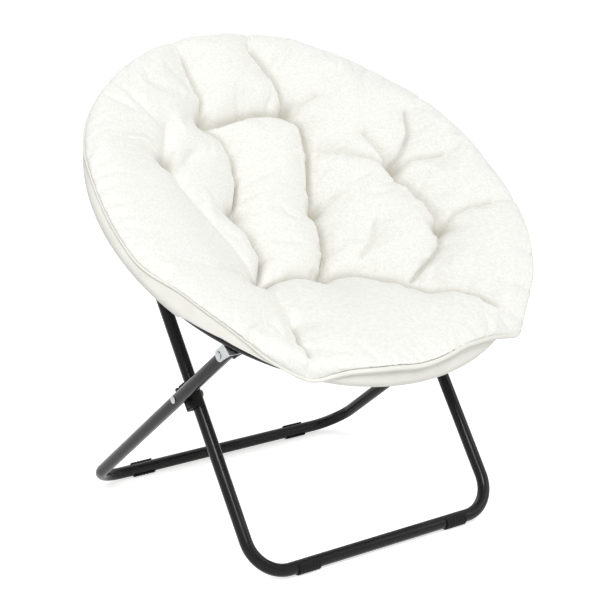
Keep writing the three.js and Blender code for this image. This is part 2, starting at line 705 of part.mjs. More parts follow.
// Ring group
const frontTubeY = -Math.sqrt(ringRadius ** 2 - rearLegX ** 2);
const rearTubeY = Math.sqrt(ringRadius ** 2 - frontLegX ** 2);
const ring = new THREE.Group();
ring.position.set(0, -ringForward, ringHeight);
ring.rotation.x = ringTilt;
ring.add(mesh('ring_rear_tube', ringTube(1, frontLegX, rearTubeY), powderCoat));
ring.add(mesh('ring_front_tube', ringTube(-1, rearLegX, frontTubeY), powderCoat));
addPair(ring, 'rear_bracket', clevis(frontLegX, rearTubeY, rearPivot), zinc);
addPair(ring, 'front_bracket', clevis(rearLegX, frontTubeY, frontPivot), zinc);
addPair(ring, 'rear_bracket_rivet', ringRivet(frontLegX, rearTubeY), zinc);
addPair(ring, 'front_bracket_rivet', ringRivet(rearLegX, frontTubeY), zinc);
addPair(ring, 'rear_bracket_pin', headedPin(frontLegX - earOuter - seatGap, frontLegX + earOuter + seatGap)
  .translate(0, rearPivot.x, rearPivot.y), zinc);
addPair(ring, 'front_bracket_pin', headedPin(rearLegX - earOuter - seatGap, rearLegX + earOuter + seatGap)
  .translate(0, frontPivot.x, frontPivot.y), zinc);
for (const [name, way] of [['outer', 1], ['inner', -1]]) {
  const stub = headedStub(flatThickness + seatGap).scale(way, 1, 1)
    .translate(hingeX + way * (flatThickness + seatGap + seatGap / 2), -hingeForward, 0);
  addPair(ring, `ring_hinge_rivet_${name}`, stub, zinc);
}

const sling = frontAndRear(cut(slingBody(), [
  sleeveWindow(Math.atan2(frontTubeY, rearLegX), frontWindow),
  sleeveWindow(Math.atan2(frontTubeY, -rearLegX), frontWindow),
  sleeveWindow(Math.atan2(rearTubeY, frontLegX), rearWindow),
  sleeveWindow(Math.atan2(rearTubeY, -frontLegX), rearWindow),
]));
const cushion = frontAndRear(cushionBody());
const piping = frontAndRear(pipingBody());
for (const end of ['rear', 'front']) {
  ring.add(mesh(`seat_sling_${end}`, sling[end], backing));
  ring.add(mesh(`seat_cushion_${end}`, cushion[end], plush));
  ring.add(mesh(`seat_piping_${end}`, piping[end], backing));
}

const chair = new THREE.Group();
chair.add(frontLeg, rearLeg, frontFeet, rearFeet, ring);
const bounds = new THREE.Box3().setFromObject(chair, true);
const middle = bounds.getCenter(new THREE.Vector3());
chair.position.set(-middle.x, -middle.y, -bounds.min.z);

export default chair;
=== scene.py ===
# %% [markdown]
# A folding saucer chair, dressed for its portrait. The steel frame, its pivots and the plain
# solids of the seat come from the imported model. This lesson gives the frame its paint, zinc and
# plastic, and makes the seat anew as sewn cloth: a tufted plush face, a backing with a sleeve
# round the ring, and a welt along the seam between them.

# %% Load the frame
import math
import json

import bmesh
import bpy
import numpy as np
from mathutils import Matrix, Vector


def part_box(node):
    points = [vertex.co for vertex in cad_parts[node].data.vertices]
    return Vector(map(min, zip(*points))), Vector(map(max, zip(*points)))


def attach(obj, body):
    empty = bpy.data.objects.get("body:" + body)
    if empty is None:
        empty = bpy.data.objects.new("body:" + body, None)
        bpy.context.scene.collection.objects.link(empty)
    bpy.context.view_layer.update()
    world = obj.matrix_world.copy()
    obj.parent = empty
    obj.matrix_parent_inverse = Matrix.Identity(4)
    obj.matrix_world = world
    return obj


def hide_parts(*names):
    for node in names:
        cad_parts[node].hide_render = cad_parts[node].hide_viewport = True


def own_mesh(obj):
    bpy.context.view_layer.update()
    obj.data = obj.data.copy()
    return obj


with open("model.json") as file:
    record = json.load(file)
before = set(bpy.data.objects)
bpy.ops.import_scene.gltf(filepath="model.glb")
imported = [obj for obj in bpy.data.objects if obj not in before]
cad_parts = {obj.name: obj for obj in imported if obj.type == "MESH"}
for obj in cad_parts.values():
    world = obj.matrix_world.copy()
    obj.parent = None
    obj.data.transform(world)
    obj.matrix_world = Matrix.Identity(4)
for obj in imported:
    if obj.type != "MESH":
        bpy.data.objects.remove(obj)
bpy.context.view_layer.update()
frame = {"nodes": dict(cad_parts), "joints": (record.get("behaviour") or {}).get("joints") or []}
nodes = frame["nodes"]
joints = {joint["name"]: joint for joint in frame["joints"]}
mm = 0.001

# %% [markdown]
# The camera comes first, because everything is judged from it. The photograph was matched by
# laying the legs' uprights and floor bars over it: a long lens, a little above the seat, from
# the sitter's right front corner. The script never asks for the picture's size.

# %% Camera
camera_place = Vector((-1.4538, -2.0656, 1.1081))
camera_azimuth = math.radians(-34.688)
camera_elevation = math.radians(15.928)
focal_share = 1521.93 / 600  # focal length over the frame's width
sensor_width = 36


def make_camera():
    data = bpy.data.cameras.new("portrait")
    data.sensor_width = sensor_width
    data.lens = focal_share * sensor_width
    camera = bpy.data.objects.new("portrait", data)
    bpy.context.scene.collection.objects.link(camera)
    flat = math.cos(camera_elevation)
    back = Vector((math.sin(camera_azimuth) * flat, -math.cos(camera_azimuth) * flat,
                   math.sin(camera_elevation)))
    camera.location = camera_place
    camera.rotation_mode = "QUATERNION"
    camera.rotation_quaternion = (-back).to_track_quat("-Z", "Y")
    bpy.context.scene.camera = camera
    print("lens", round(data.lens, 2), "mm")


make_camera()

# %% [markdown]
# Soft parts are easiest to think about in the ring's own plane: x across the chair, v up the
# slope of the ring, n square to it. The ring's centre is found from the hinge rivets, which sit
# a known way in front of it. One matrix carries ring points into the chair's frame.

# %% The ring's plane
ring_radius = 378 * mm
ring_tilt = math.radians(36.2)
hinge_forward = 140 * mm
tube_radius = 11 * mm


def middle(node):
    low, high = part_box(node)
    return (low + high) / 2


up_slope = Vector((0, math.cos(ring_tilt), math.sin(ring_tilt)))
ring_normal = Vector((0, -math.sin(ring_tilt), math.cos(ring_tilt)))
hinge_rivet = middle("ring_hinge_rivet_outer_left")
hinge_line_place = Vector((0, hinge_rivet.y, hinge_rivet.z))
ring_centre = hinge_line_place + hinge_forward * up_slope
ring_matrix = Matrix.Translation(ring_centre) @ Matrix.Rotation(ring_tilt, 4, "X")
print("ring centre", [round(x, 5) for x in ring_centre])


def from_ring(points):
    """Ring-plane points, an array of rows (x, v, n), in the chair's frame"""
    points = np.asarray(points, float)
    turn = np.array(ring_matrix)
    return points @ turn[:3, :3].T + turn[:3, 3]


# %% [markdown]
# Every made piece goes through one helper that turns points and faces into a mesh object, and one that
# gives it its body and its material and hides the imported nodes that it stands for.

# %% Mesh helpers
def mesh_object(name, points, faces):
    """A smooth-shaded object of points in metres, with its faces turned outwards"""
    mesh = bpy.data.meshes.new(name)
    mesh.from_pydata([tuple(p) for p in np.asarray(points, float)], [], [tuple(f) for f in faces])
    mesh.validate()
    work = bmesh.new()
    work.from_mesh(mesh)
    bmesh.ops.recalc_face_normals(work, faces=work.faces)
    work.to_mesh(mesh)
    work.free()
    for polygon in mesh.polygons:
        polygon.use_smooth = True
    made = bpy.data.objects.new(name, mesh)
    bpy.context.scene.collection.objects.link(made)
    return made


def place(piece, body, material, slot, *stands_for):
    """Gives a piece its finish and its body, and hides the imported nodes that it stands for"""
    piece.data.materials.clear()
    piece.data.materials.append(material)
    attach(piece, body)
    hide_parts(*stands_for)


def applied(piece):
    """The piece with its modifiers baked into its mesh"""
    graph = bpy.context.evaluated_depsgraph_get()
    mesh = bpy.data.meshes.new_from_object(piece.evaluated_get(graph))
    piece.modifiers.clear()
    piece.data = mesh
    return piece


def grid_faces(rows, columns, close_rows=False, close_columns=False):
    """Four-sided faces between rows of points, closed to a loop either way or both"""
    faces = []
    for i in range(rows if close_rows else rows - 1):
        for j in range(columns if close_columns else columns - 1):
            a, b = i, (i + 1) % rows
            c, d = j, (j + 1) % columns
            faces.append((a * columns + c, a * columns + d, b * columns + d, b * columns + c))
    return faces


# %% [markdown]
# A node-based material is a small recipe. These helpers start one from a Principled shader and
# add nodes to it, so that each finish below reads as its own short list. All the patterns are
# noise or waves in the chair's own metres: they need no unwrapping, have the right scale on
# every piece, and stay on a piece when it moves.

# %% Material helpers
def new_material(name, color, roughness, metallic=0.0):
    """A material, its node tree and its Principled shader with a plain finish"""
    material = bpy.data.materials.new(name)
    material.use_nodes = True
    shader = material.node_tree.nodes["Principled BSDF"]
    shader.inputs["Base Color"].default_value = (*color, 1)
    shader.inputs["Roughness"].default_value = roughness
    shader.inputs["Metallic"].default_value = metallic
    return material, material.node_tree, shader


def add(tree, kind, links=(), **settings):
    """A new node, with its sockets and settings set and its inputs linked"""
    node = tree.nodes.new(kind)
    for name, value in settings.items():
        if name in node.inputs:
            node.inputs[name].default_value = value
        else:
            setattr(node, name, value)
    for name, source in links:
        tree.links.new(source, node.inputs[name])
    return node


def chair_coordinates(tree):
    """Metres in the chair's frame: every object sits at the origin, so its own are the chair's"""
    return add(tree, "ShaderNodeTexCoord").outputs["Object"]


def noise(tree, scale, detail, rough=0.5, vector=None):
    """Cloudy noise; about as many clouds as scale says fit in a metre"""
    node = add(tree, "ShaderNodeTexNoise", [("Vector", vector or chair_coordinates(tree))])
    node.inputs["Scale"].default_value = scale
    node.inputs["Detail"].default_value = detail
    node.inputs["Roughness"].default_value = rough
    return node.outputs["Fac"]


def grey(level):
    return (level, level, level)


def ramp(tree, source, span, low_color, high_color):
    """A colour that goes from one to the other as source crosses the span"""
    node = add(tree, "ShaderNodeValToRGB", [("Fac", source)])
    first, last = node.color_ramp.elements
    first.position, last.position = span
    first.color = (*low_color, 1)
    last.color = (*high_color, 1)
    return node.outputs["Color"]


def varied(tree, shader, socket, source, span, low_color, high_color):
    """Drives a socket of the shader with a ramp"""
    tree.links.new(ramp(tree, source, span, low_color, high_color), shader.inputs[socket])


def bump(tree, shader, height, distance, strength, under=None):
    """Relief of a given depth on the shader, over the relief that lies under it"""
    links = [("Height", height)] + ([("Normal", under)] if under else [])
    node = add(tree, "ShaderNodeBump", links)
    node.inputs["Distance"].default_value = distance
    node.inputs["Strength"].default_value = strength
    tree.links.new(node.outputs["Normal"], shader.inputs["Normal"])
    return node.outputs["Normal"]


def ready(material):
    """Says what a recipe made"""
    print(material.name, len(material.node_tree.nodes), "shader nodes")
    return material


# %% [markdown]
# The frame is black powder coat: polymer powder baked on steel. It has a soft gloss, a fine
# orange-peel skin and, close up, tiny differences in gloss where hands and boxes rubbed it. One
# flat black would look like rubber, so slow noise varies the gloss and the black, and a bump
# stands for the skin, which is far too fine to model.

# %% Powder coat
def powder_coat():
    material, tree, shader = new_material("powder_coat", (0.008, 0.008, 0.0085), 0.3)
    shader.inputs["Specular IOR Level"].default_value = 0.2
    varied(tree, shader, "Roughness", noise(tree, 38, 3), (0.35, 0.7), grey(0.15), grey(0.24))
    varied(tree, shader, "Base Color", noise(tree, 14, 4), (0.3, 0.75),
           (0.006, 0.006, 0.0065), (0.011, 0.011, 0.0115))
    bump(tree, shader, noise(tree, 900, 1), 0.1 * mm, 0.35)
    return material


paint = ready(powder_coat())

# %% [markdown]
# Brackets, pins and rivets are zinc plated: bright and slightly blue, with a fine grain and a
# dull bloom here and there. A mirror-like metal would show only the white room, so the plate is
# kept rather rough, and two noises give it its bloom and its lighter and darker crystals.

# %% Zinc plate
def zinc_plate():
    material, tree, shader = new_material("zinc", (0.50, 0.525, 0.53), 0.32, 0.9)
    varied(tree, shader, "Roughness", noise(tree, 120, 4, 0.6), (0.35, 0.7), grey(0.24), grey(0.46))
    varied(tree, shader, "Base Color", noise(tree, 60, 3), (0.3, 0.7),
           (0.43, 0.455, 0.46), (0.56, 0.58, 0.58))
    bump(tree, shader, noise(tree, 1500, 2), 0.05 * mm, 0.5)
    return material


zinc = ready(zinc_plate())

# %% [markdown]
# Feet, plugs and saddles are moulded polypropylene: nearly as black as the paint, but dull,
# with the fine grain of a spark-eroded mould. What tells the two apart in a photograph is the
# gloss, so the colour stays plain here and the roughness does the work.

# %% Black plastic
def black_plastic():
    material, tree, shader = new_material("black_plastic", (0.009, 0.009, 0.009), 0.56)
    shader.inputs["Specular IOR Level"].default_value = 0.15
    varied(tree, shader, "Roughness", noise(tree, 45, 3), (0.3, 0.7), grey(0.50), grey(0.66))
    bump(tree, shader, noise(tree, 1400, 2), 0.12 * mm, 0.5)
    return material


plastic = ready(black_plastic())

# %% [markdown]
# The plush is a short pile faux fur. Its tips lie in small clumps, so a coarse and a fine bump
# carry the pile, and a sheen gives the pale edge that any pile shows where it is seen from the
# side. Between clumps the backing shows a little warmer, so the colour follows the same clumps.
# Real hair would be slow to draw and would be lost in an exported model; at this distance the
# clumps are all that is seen. The noise is stretched one way, as the pile is combed.

# %% Plush
def plush_pile():
    material, tree, shader = new_material("plush", (0.88, 0.87, 0.84), 0.95)
    shader.inputs["Sheen Weight"].default_value = 0.3
    shader.inputs["Sheen Roughness"].default_value = 0.5
    shader.inputs["Sheen Tint"].default_value = (1, 0.99, 0.97, 1)
    combed = add(tree, "ShaderNodeMapping", [("Vector", chair_coordinates(tree))],
                 Rotation=(-ring_tilt, 0, 0.35), Scale=(1, 0.28, 1)).outputs["Vector"]
    clumps = noise(tree, 330, 3, 0.55, combed)
    tips = ramp(tree, clumps, (0.3, 0.62), (0.815, 0.812, 0.77), (0.905, 0.908, 0.872))
    # Painted shade: along the creases and round the tufts the colour is mixed towards a dark warm grey,
    # for the shade that falls inside them
    painted_shade_fac = add(tree, "ShaderNodeAttribute", attribute_name="parted").outputs["Fac"]
    shade_mix = add(tree, "ShaderNodeMixRGB", [("Fac", painted_shade_fac), ("Color1", tips)])
    shade_mix.inputs["Color2"].default_value = (0.52, 0.50, 0.43, 1)
    tree.links.new(shade_mix.outputs["Color"], shader.inputs["Base Color"])
    coarse = bump(tree, shader, clumps, 1.1 * mm, 0.35)
    bump(tree, shader, noise(tree, 1300, 2, 0.6, combed), 0.4 * mm, 0.5, coarse)
    return material


plush = ready(plush_pile())

# %% [markdown]
# The backing and the welt are a plain woven polyester. Two crossed waves make the weave, in the
# ring's own plane so that the threads run straight on the cloth; a slow noise keeps the threads
# from being perfect, and a slower one gives the cloth its faint soil and shade. A wave texture's
# bands are a twentieth of a full turn apart at scale 1, and the pitch sets the scale from that.

# %% Backing
weave_pitch = 0.9 * mm
weave_scale = 2 * math.pi / (20 * weave_pitch)


def backing_cloth():
    material, tree, shader = new_material("backing", (0.84, 0.83, 0.78), 0.85)
    shader.inputs["Sheen Weight"].default_value = 0.15
    on_ring = add(tree, "ShaderNodeMapping", [("Vector", chair_coordinates(tree))],
                  Rotation=(-ring_tilt, 0, 0)).outputs["Vector"]
    threads = []
    for direction in ("X", "Y"):
        wave = add(tree, "ShaderNodeTexWave", [("Vector", on_ring)], bands_direction=direction)
        wave.inputs["Scale"].default_value = weave_scale
        wave.inputs["Distortion"].default_value = 1.2
        wave.inputs["Detail Scale"].default_value = 3
        threads.append(wave.outputs["Fac"])
    both = add(tree, "ShaderNodeMath", [(0, threads[0]), (1, threads[1])], operation="MULTIPLY")
    varied(tree, shader, "Base Color", noise(tree, 30, 4), (0.3, 0.7),
           (0.81, 0.80, 0.745), (0.87, 0.86, 0.81))
    slow = bump(tree, shader, noise(tree, 70, 3), 1.2 * mm, 0.5)
    bump(tree, shader, both.outputs[0], 0.22 * mm, 0.5, slow)
    return material


backing = ready(backing_cloth())

# %% [markdown]
# The legs are two U shapes of bent tube. A tube is best swept: a ring of points carried along
# the centre line, with the same number of points at every station, and a bore swept back so
# that the open end is a real tube end. The places come from the frame: the plugs give the
# uprights, the feet give the floor bars and the joints give the top pivots.

# %% Swept tubes
tube_wall = 1.2 * mm
tube_sides = 40
leg_bend = 62 * mm
leg_bend_steps = 20
leg_end_length = 14 * mm
leg_end_step = 2 * mm  # from a tube's end to its next station
bar_height = 14 * mm


def sweep(name, centres, normal, outer, inner):
    """A tube along centres, a line that lies in the plane square to normal"""
    centres = np.asarray(centres, float)
    along = np.gradient(centres, axis=0)
    along /= np.linalg.norm(along, axis=1)[:, None]
    side = np.cross(np.asarray(normal, float), along)
    turn = np.linspace(0, 2 * math.pi, tube_sides, endpoint=False)

    def rings(size):
        spread = np.cos(turn)[None, :, None] * side[:, None, :]
        lift = np.sin(turn)[None, :, None] * np.asarray(normal, float)[None, None, :]
        return centres[:, None, :] + size * (spread + lift)

    points = np.concatenate([rings(outer), rings(inner)[::-1]]).reshape(-1, 3)
    faces = grid_faces(2 * len(centres), tube_sides, close_rows=True, close_columns=True)
    return mesh_object(name, points, faces)


def leg_line(half_width, bar, pivot):
    """Centre line of a U leg, from one top end round the floor bar to the other"""
    bar, pivot = Vector(bar), Vector(pivot)
    up = (pivot - bar).normalized()
    length = (pivot - bar).length + leg_end_length
    straight = [bar + Vector((half_width, 0, 0)) + up * t for t in (length, length - leg_end_step)]
    quarter = [math.pi / 2 * i / leg_bend_steps for i in range(leg_bend_steps + 1)]
    bend = [bar + Vector((half_width - leg_bend + leg_bend * math.cos(a), 0, 0))
            + up * (leg_bend - leg_bend * math.sin(a)) for a in quarter]
    right = straight + bend
    left = [Vector((-p.x, p.y, p.z)) for p in reversed(right)]
    return right + left, up


front_half = abs(middle("front_leg_plug_left").x)
rear_half = abs(middle("rear_leg_plug_left").x)
front_bar = Vector((0, middle("front_foot_left").y, bar_height))
rear_bar = Vector((0, middle("rear_foot_left").y, bar_height))
rear_pivot = Vector(joints["rear_arc_fold"]["pos_m"])
front_pivot = Vector(joints["front_arc_fold"]["pos_m"])
front_line, front_up = leg_line(front_half, front_bar, rear_pivot)
rear_line, rear_up = leg_line(rear_half, rear_bar, front_pivot)
for body, line, up in (("front_leg", front_line, front_up), ("rear_leg", rear_line, rear_up)):
    square = Vector((1, 0, 0)).cross(up)
    tube = sweep(body + "_steel", line, square, tube_radius, tube_radius - tube_wall)
    place(tube, body, paint, "powder_coat", body + "_tube")
    lean = math.degrees(math.atan2(up.z, up.y))
    print(body, "half width", round(line[0].x, 4), "leans", round(lean, 2))

# %% [markdown]
# Feet are C shaped sleeves that snap on the floor bars, open towards the inside of the U. They
# could be cut out of cylinders, but a boolean leaves ragged faces. Their ribs run round the bar,
# so the C is swept along x instead, with a radius that rises at each rib.

# %% Ribbed feet
foot_length = 44 * mm
foot_ribs = 7
foot_bore = tube_radius + 0.3 * mm
foot_skin = tube_radius + 2.0 * mm
foot_rib_height = 1.0 * mm
foot_rib_fullness = 1.35  # above 1 the ribs are wider than the grooves between them
foot_rib_squareness = 0.6  # below 1 a rib's top is flatter than a wave's
foot_edge = 0.35 * mm
foot_opening = math.radians(150)
foot_arc_steps = 44
foot_rib_steps = 10


def foot_radius(share):
    """Outer radius at a share of the foot's length: rounded ribs with narrow grooves"""
    wave = 0.5 - 0.5 * math.cos(2 * math.pi * share * foot_ribs)
    return foot_skin + foot_rib_height * min(1, foot_rib_fullness * wave) ** foot_rib_squareness


def soften(piece, width, angle=50):
    """Rounds a piece's edges a little and keeps its flats flat"""
    bevel = piece.modifiers.new("rounded_edges", "BEVEL")
    bevel.width = width
    bevel.segments = 2
    bevel.limit_method = "ANGLE"
    bevel.angle_limit = math.radians(angle)
    piece.modifiers.new("even_shade", "WEIGHTED_NORMAL").keep_sharp = True


def foot_sleeve(name, place_of_middle, opening_direction):
    """A ribbed C of plastic round a floor bar, open towards a direction"""
    facing = math.atan2(opening_direction.z, opening_direction.y)
    turns = np.linspace(facing + foot_opening / 2, facing + 2 * math.pi - foot_opening / 2,
                        foot_arc_steps)
    stations = foot_ribs * foot_rib_steps + 1
    points = []
    for i in range(stations):
        share = i / (stations - 1)
        x = (share - 0.5) * foot_length
        outer = [(x, foot_radius(share) * math.cos(a), foot_radius(share) * math.sin(a)) for a in turns]
        inner = [(x, foot_bore * math.cos(a), foot_bore * math.sin(a)) for a in turns[::-1]]
        points += outer + inner
    around = 2 * foot_arc_steps
    faces = grid_faces(stations, around, close_columns=True)
    for start in (0, (stations - 1) * around):
        for j in range(foot_arc_steps - 1):
            k = around - 1 - j
            faces.append((start + j, start + j + 1, start + k - 1, start + k))
    foot = mesh_object(name, np.array(points) + np.array(place_of_middle), faces)
    soften(foot, foot_edge)
    return foot


for leg, up in (("front", front_up), ("rear", rear_up)):
    for side in ("left", "right"):
        node = f"{leg}_foot_{side}"
        centre = middle(node)
        centre.z = bar_height
        foot = foot_sleeve(f"{leg}_ribbed_foot_{side}", centre, up)
        place(foot, f"{leg}_leg", plastic, "black_plastic", node)
        print(foot.name, len(foot.data.vertices), "points")

# %% [markdown]
# Plates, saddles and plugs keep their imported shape, which is right to a tenth of a millimetre.
# They arrive as loose flat triangles, so each is welded, its edges are rounded a little and its
# shading is evened, all with modifiers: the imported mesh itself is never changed.

# %% Plates, saddles and plugs
weld_distance = 0.01 * mm
plate_bevel_angle = 35
plate_crisp_angle = math.radians(40)
zinc_edge = 0.4 * mm
plastic_edge = 0.5 * mm


def keep_shape(node, material, width):
    """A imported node's own shape with a finish and a little rounding"""
    piece = nodes[node]
    piece.data.materials.clear()
    piece.data.materials.append(material)
    for polygon in piece.data.polygons:
        polygon.use_smooth = True
    weld = piece.modifiers.new("weld", "WELD")
    weld.merge_threshold = weld_distance
    soften(piece, width, plate_bevel_angle)
    split = piece.modifiers.new("crisp_edges", "EDGE_SPLIT")
    split.split_angle = plate_crisp_angle
    print(node, len(piece.data.polygons), "packed faces")


for side in ("left", "right"):
    for node in ("front_bracket", "rear_bracket"):
        keep_shape(f"{node}_{side}", zinc, zinc_edge)
    for node in ("crossing_saddle", "front_leg_plug", "rear_leg_plug"):
        keep_shape(f"{node}_{side}", plastic, plastic_edge)

# %% [markdown]
# Pins and rivets are turned parts: a profile of radius against length, spun round the pin's
# axis, as a lathe does it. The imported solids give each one's ends; the domed head, which catches
# the light as a small bright dot, is drawn here with a real curve.

# %% Pins and rivets
rivet_sides = 32
head_radius = 6.5 * mm
head_height = 2.4 * mm
pin_radius = 4 * mm
small_head_radius = 4.6 * mm
small_head_height = 1.6 * mm
small_pin_radius = 2.4 * mm
dome_steps = 8
dome_rim = 0.3  # a head's straight rim, as a share of its height
crown_tip = 1e-6  # radius of a crown's last ring, which stays open enough to be a ring


def dome(radius, height, inner, base, way):
    """A domed head's profile, from the shank at base out to the rim and over to the crown"""
    rim = dome_rim * height
    points = [(base, inner), (base, radius - rim / 4), (base + way * rim, radius)]
    for i in range(1, dome_steps + 1):
        turn = math.pi / 2 * i / dome_steps
        points.append((base + way * (rim + (height - rim) * math.sin(turn)),
                       max(radius * math.cos(turn), 0)))
    return points


def turned(name, profile, origin, axis):
    """Spins a profile of (along, radius) points round an axis through origin"""
    axis = Vector(axis).normalized()
    side = axis.orthogonal().normalized()
    other = axis.cross(side)
    points, faces = [], []
    for along, radius in profile:
        for i in range(rivet_sides):
            turn = 2 * math.pi * i / rivet_sides
            points.append(origin + axis * along
                          + (side * math.cos(turn) + other * math.sin(turn)) * max(radius, crown_tip))
    faces = grid_faces(len(profile), rivet_sides, close_columns=True)
    faces.append(tuple(range(rivet_sides)))
    faces.append(tuple(range((len(profile) - 1) * rivet_sides, len(profile) * rivet_sides)))
    return mesh_object(name, points, faces)


def pin_end(half, way, headed):
    """One end of a pin's profile, from its shank out: a domed head or a plain end"""
    if headed:
        return dome(head_radius, head_height, pin_radius, way * (half - head_height), way)
    return [(way * half, pin_radius), (way * half, 0)]


def cross_pin(node, body, headed):
    """A pin along x. headed says which ends, low or high, have a domed head"""
    low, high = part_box(node)
    half = (high.x - low.x) / 2
    profile = pin_end(half, -1, "low" in headed)[::-1] + pin_end(half, 1, "high" in headed)
    piece = turned(node + "_domed", profile, (low + high) / 2, (1, 0, 0))
    place(piece, body, zinc, "zinc", node)
    print(piece.name, "half length", round(half, 4))


for side, outer, inner in (("left", "low", "high"), ("right", "high", "low")):
    cross_pin(f"crossing_rivet_{side}", "front_leg", ("low", "high"))
    cross_pin(f"rear_bracket_pin_{side}", "ring_rear", ("low", "high"))
    cross_pin(f"front_bracket_pin_{side}", "ring_front", ("low", "high"))
    cross_pin(f"ring_hinge_rivet_outer_{side}", "ring_rear", (outer,))
    cross_pin(f"ring_hinge_rivet_inner_{side}", "ring_front", (inner,))


def ring_rivet(node, body):
    """The blind rivet through a bracket's web, head down, along the ring's normal"""
    low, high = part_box(node)
    reach = (high.z - low.z) / 2 / math.cos(ring_tilt) - small_head_radius * math.tan(ring_tilt)
    head = dome(small_head_radius, small_head_height, small_pin_radius, -reach + small_head_height, -1)
    profile = head[::-1] + [(reach, small_pin_radius), (reach, 0)]
    piece = turned(node + "_domed", profile, (low + high) / 2, ring_normal)
    place(piece, body, zinc, "zinc", node)
    print(piece.name, "half length", round(reach, 4))


for side in ("left", "right"):
    ring_rivet(f"rear_bracket_rivet_{side}", "ring_rear")
    ring_rivet(f"front_bracket_rivet_{side}", "ring_front")

# %% [markdown]
# The ring is two arcs of the same tube. Each end is pressed flat beside the other's, so the
# section changes from round to a flat oval over a short taper. A sweep still does it, if every
# station has its own width and height.

# %% Ring arcs
flat_length = 13 * mm
flat_taper = 22 * mm
flat_height = 26 * mm
flat_thickness = 3.2 * mm
flat_tip = 5 * mm
flat_gap = 0.3 * mm
flat_squareness = 0.5
flat_profile = (  # places along the flat end and how much of its height it has there
    (-flat_length, 0.35), (-flat_length + flat_tip / 3, 0.75), (-flat_length + flat_tip, 1),
    (flat_length, 1),
)
arc_steps = 90
taper_steps = 8
hinge_x = math.sqrt(ring_radius ** 2 - hinge_forward ** 2)
hinge_angle = math.asin(hinge_forward / ring_radius)


def ring_section(centre, outwards, width, height, square):
    """An oval round a ring point; square below 1 makes it flatter on its sides"""
    turn = np.linspace(0, 2 * math.pi, tube_sides, endpoint=False)
    across = np.sign(np.cos(turn)) * np.abs(np.cos(turn)) ** square
    up = np.sign(np.sin(turn)) * np.abs(np.sin(turn)) ** square
    flat = np.array([outwards[0], outwards[1], 0])
    return centre + width / 2 * across[:, None] * flat + height / 2 * up[:, None] * np.array([0, 0, 1])


def between(a, b):
    """The taper's stations: places go straight from one station to another, sizes ease across"""
    rows = []
    for i in range(1, taper_steps):
        t = i / taper_steps
        eased = t * t * (3 - 2 * t)
        out = a[1] * (1 - t) + b[1] * t
        sizes = [p * (1 - eased) + q * eased for p, q in zip(a[2:], b[2:])]
        rows.append((a[0] * (1 - t) + b[0] * t, out / np.linalg.norm(out), *sizes))
    return rows


def ring_arc(name, way, body, node):
    """way is 1 for the rear arc, whose flats lie outside, and -1 for the front arc"""
    start = -hinge_angle if way > 0 else math.pi + hinge_angle
    end = math.pi + hinge_angle if way > 0 else 2 * math.pi - hinge_angle
    taper = (flat_length + flat_taper) / ring_radius
    round_turns = np.linspace(start + taper, end - taper, arc_steps)
    flat_x = hinge_x + way * (flat_thickness + flat_gap) / 2
    round_width = 2 * tube_radius

    def flat_end(sign):
        rows = []
        for along, share in flat_profile:
            centre = np.array([sign * flat_x, -hinge_forward + way * along, 0])
            out = np.array([sign, 0.0])
            rows.append((centre, out, flat_thickness, flat_height * share, flat_squareness))
        return rows

    rounds = []
    for turn in round_turns:
        out = np.array([math.cos(turn), math.sin(turn)])
        rounds.append((np.array([*(ring_radius * out), 0]), out, round_width, round_width, 1.0))

    head, tail = flat_end(way), flat_end(-way)[::-1]
    rows = head + between(head[-1], rounds[0]) + rounds + between(rounds[-1], tail[0]) + tail
    points = np.concatenate([ring_section(*row) for row in rows])
    faces = grid_faces(len(rows), tube_sides, close_columns=True)
    faces.append(tuple(range(tube_sides)))
    faces.append(tuple(range((len(rows) - 1) * tube_sides, len(rows) * tube_sides)))
    piece = mesh_object(name, from_ring(points), faces)
    place(piece, body, paint, "powder_coat", node)
    print(name, "turns", round(math.degrees(end - start)), "degrees")


ring_arc("ring_rear_steel", 1, "ring_rear", "ring_rear_tube")
ring_arc("ring_front_steel", -1, "ring_front", "ring_front_tube")

# %% [markdown]
# The seat is one padded cloth bowl. Its seam, where plush meets backing under a welt, does not
# run in a plane: it rides high where the sleeve is cut away round a bracket and is pulled down
# where the sleeve starts again. These knots, in degrees round the ring from the sitter's left
# hand, say how far outside the ring's centre line and how high above it the seam runs. A curve
# object could hold them too, but the cushion, the sleeve and the welt must meet along the seam,
# and they do so exactly if all three ask the same two functions for their places.

# %% The seam
radius = round(ring_radius / mm)  # in millimetres, the unit of all the seat's tables
seam_knots = [  # degrees round the ring, how far out, how high
    (0, 4, 15), (14, 6, 14), (24, 13, 10), (34, 16, 7), (60, 15, 8), (90, 15, 9), (120, 15, 8),
    (147, 16, 7), (156, 13, 10), (166, 6, 14), (176, 4, 15), (186, 5, 15), (193, 7, 14),
    (198, 4, 19), (204, -2, 27), (211, -1, 28), (217, 0, 26), (223, 4, 21), (231, 13, 8),
    (238, 15, -2), (241, 20, -4), (246, 7, 12), (250, 2, 22), (257, 0, 28), (261, -2, 30),
    (267, 0, 27), (274, -2, 29), (283, -7, 33), (292, 2, 22), (299, 20, 8), (303, 45, 0),
    (307, 24, 6), (312, 10, 14), (318, 4, 21), (324, 0, 26), (330, -1, 28), (337, 0, 26), (343, 4, 20),
    (348, 7, 15), (354, 5, 15),
]
turn_step = 0.5
turn_grid = np.arange(0, 360, turn_step)
blur_reach = 20


def round_the_ring(knots, blur=2.0):
    """A smooth periodic function of degrees through a list of (degrees, value)"""
    where = [k[0] for k in knots]
    value = [k[1] for k in knots]
    dense = np.interp(turn_grid, where, value, period=360)
    reach = np.arange(-blur_reach, blur_reach + turn_step, turn_step)
    kernel = np.exp(-0.5 * (reach / blur) ** 2)
    kernel /= kernel.sum()
    half = len(reach) // 2
    wrapped = np.concatenate([dense[-half:], dense, dense[:half]])
    smooth = np.convolve(wrapped, kernel, mode="valid")
    return lambda degrees: np.interp(np.asarray(degrees) % 360, turn_grid, smooth, period=360)


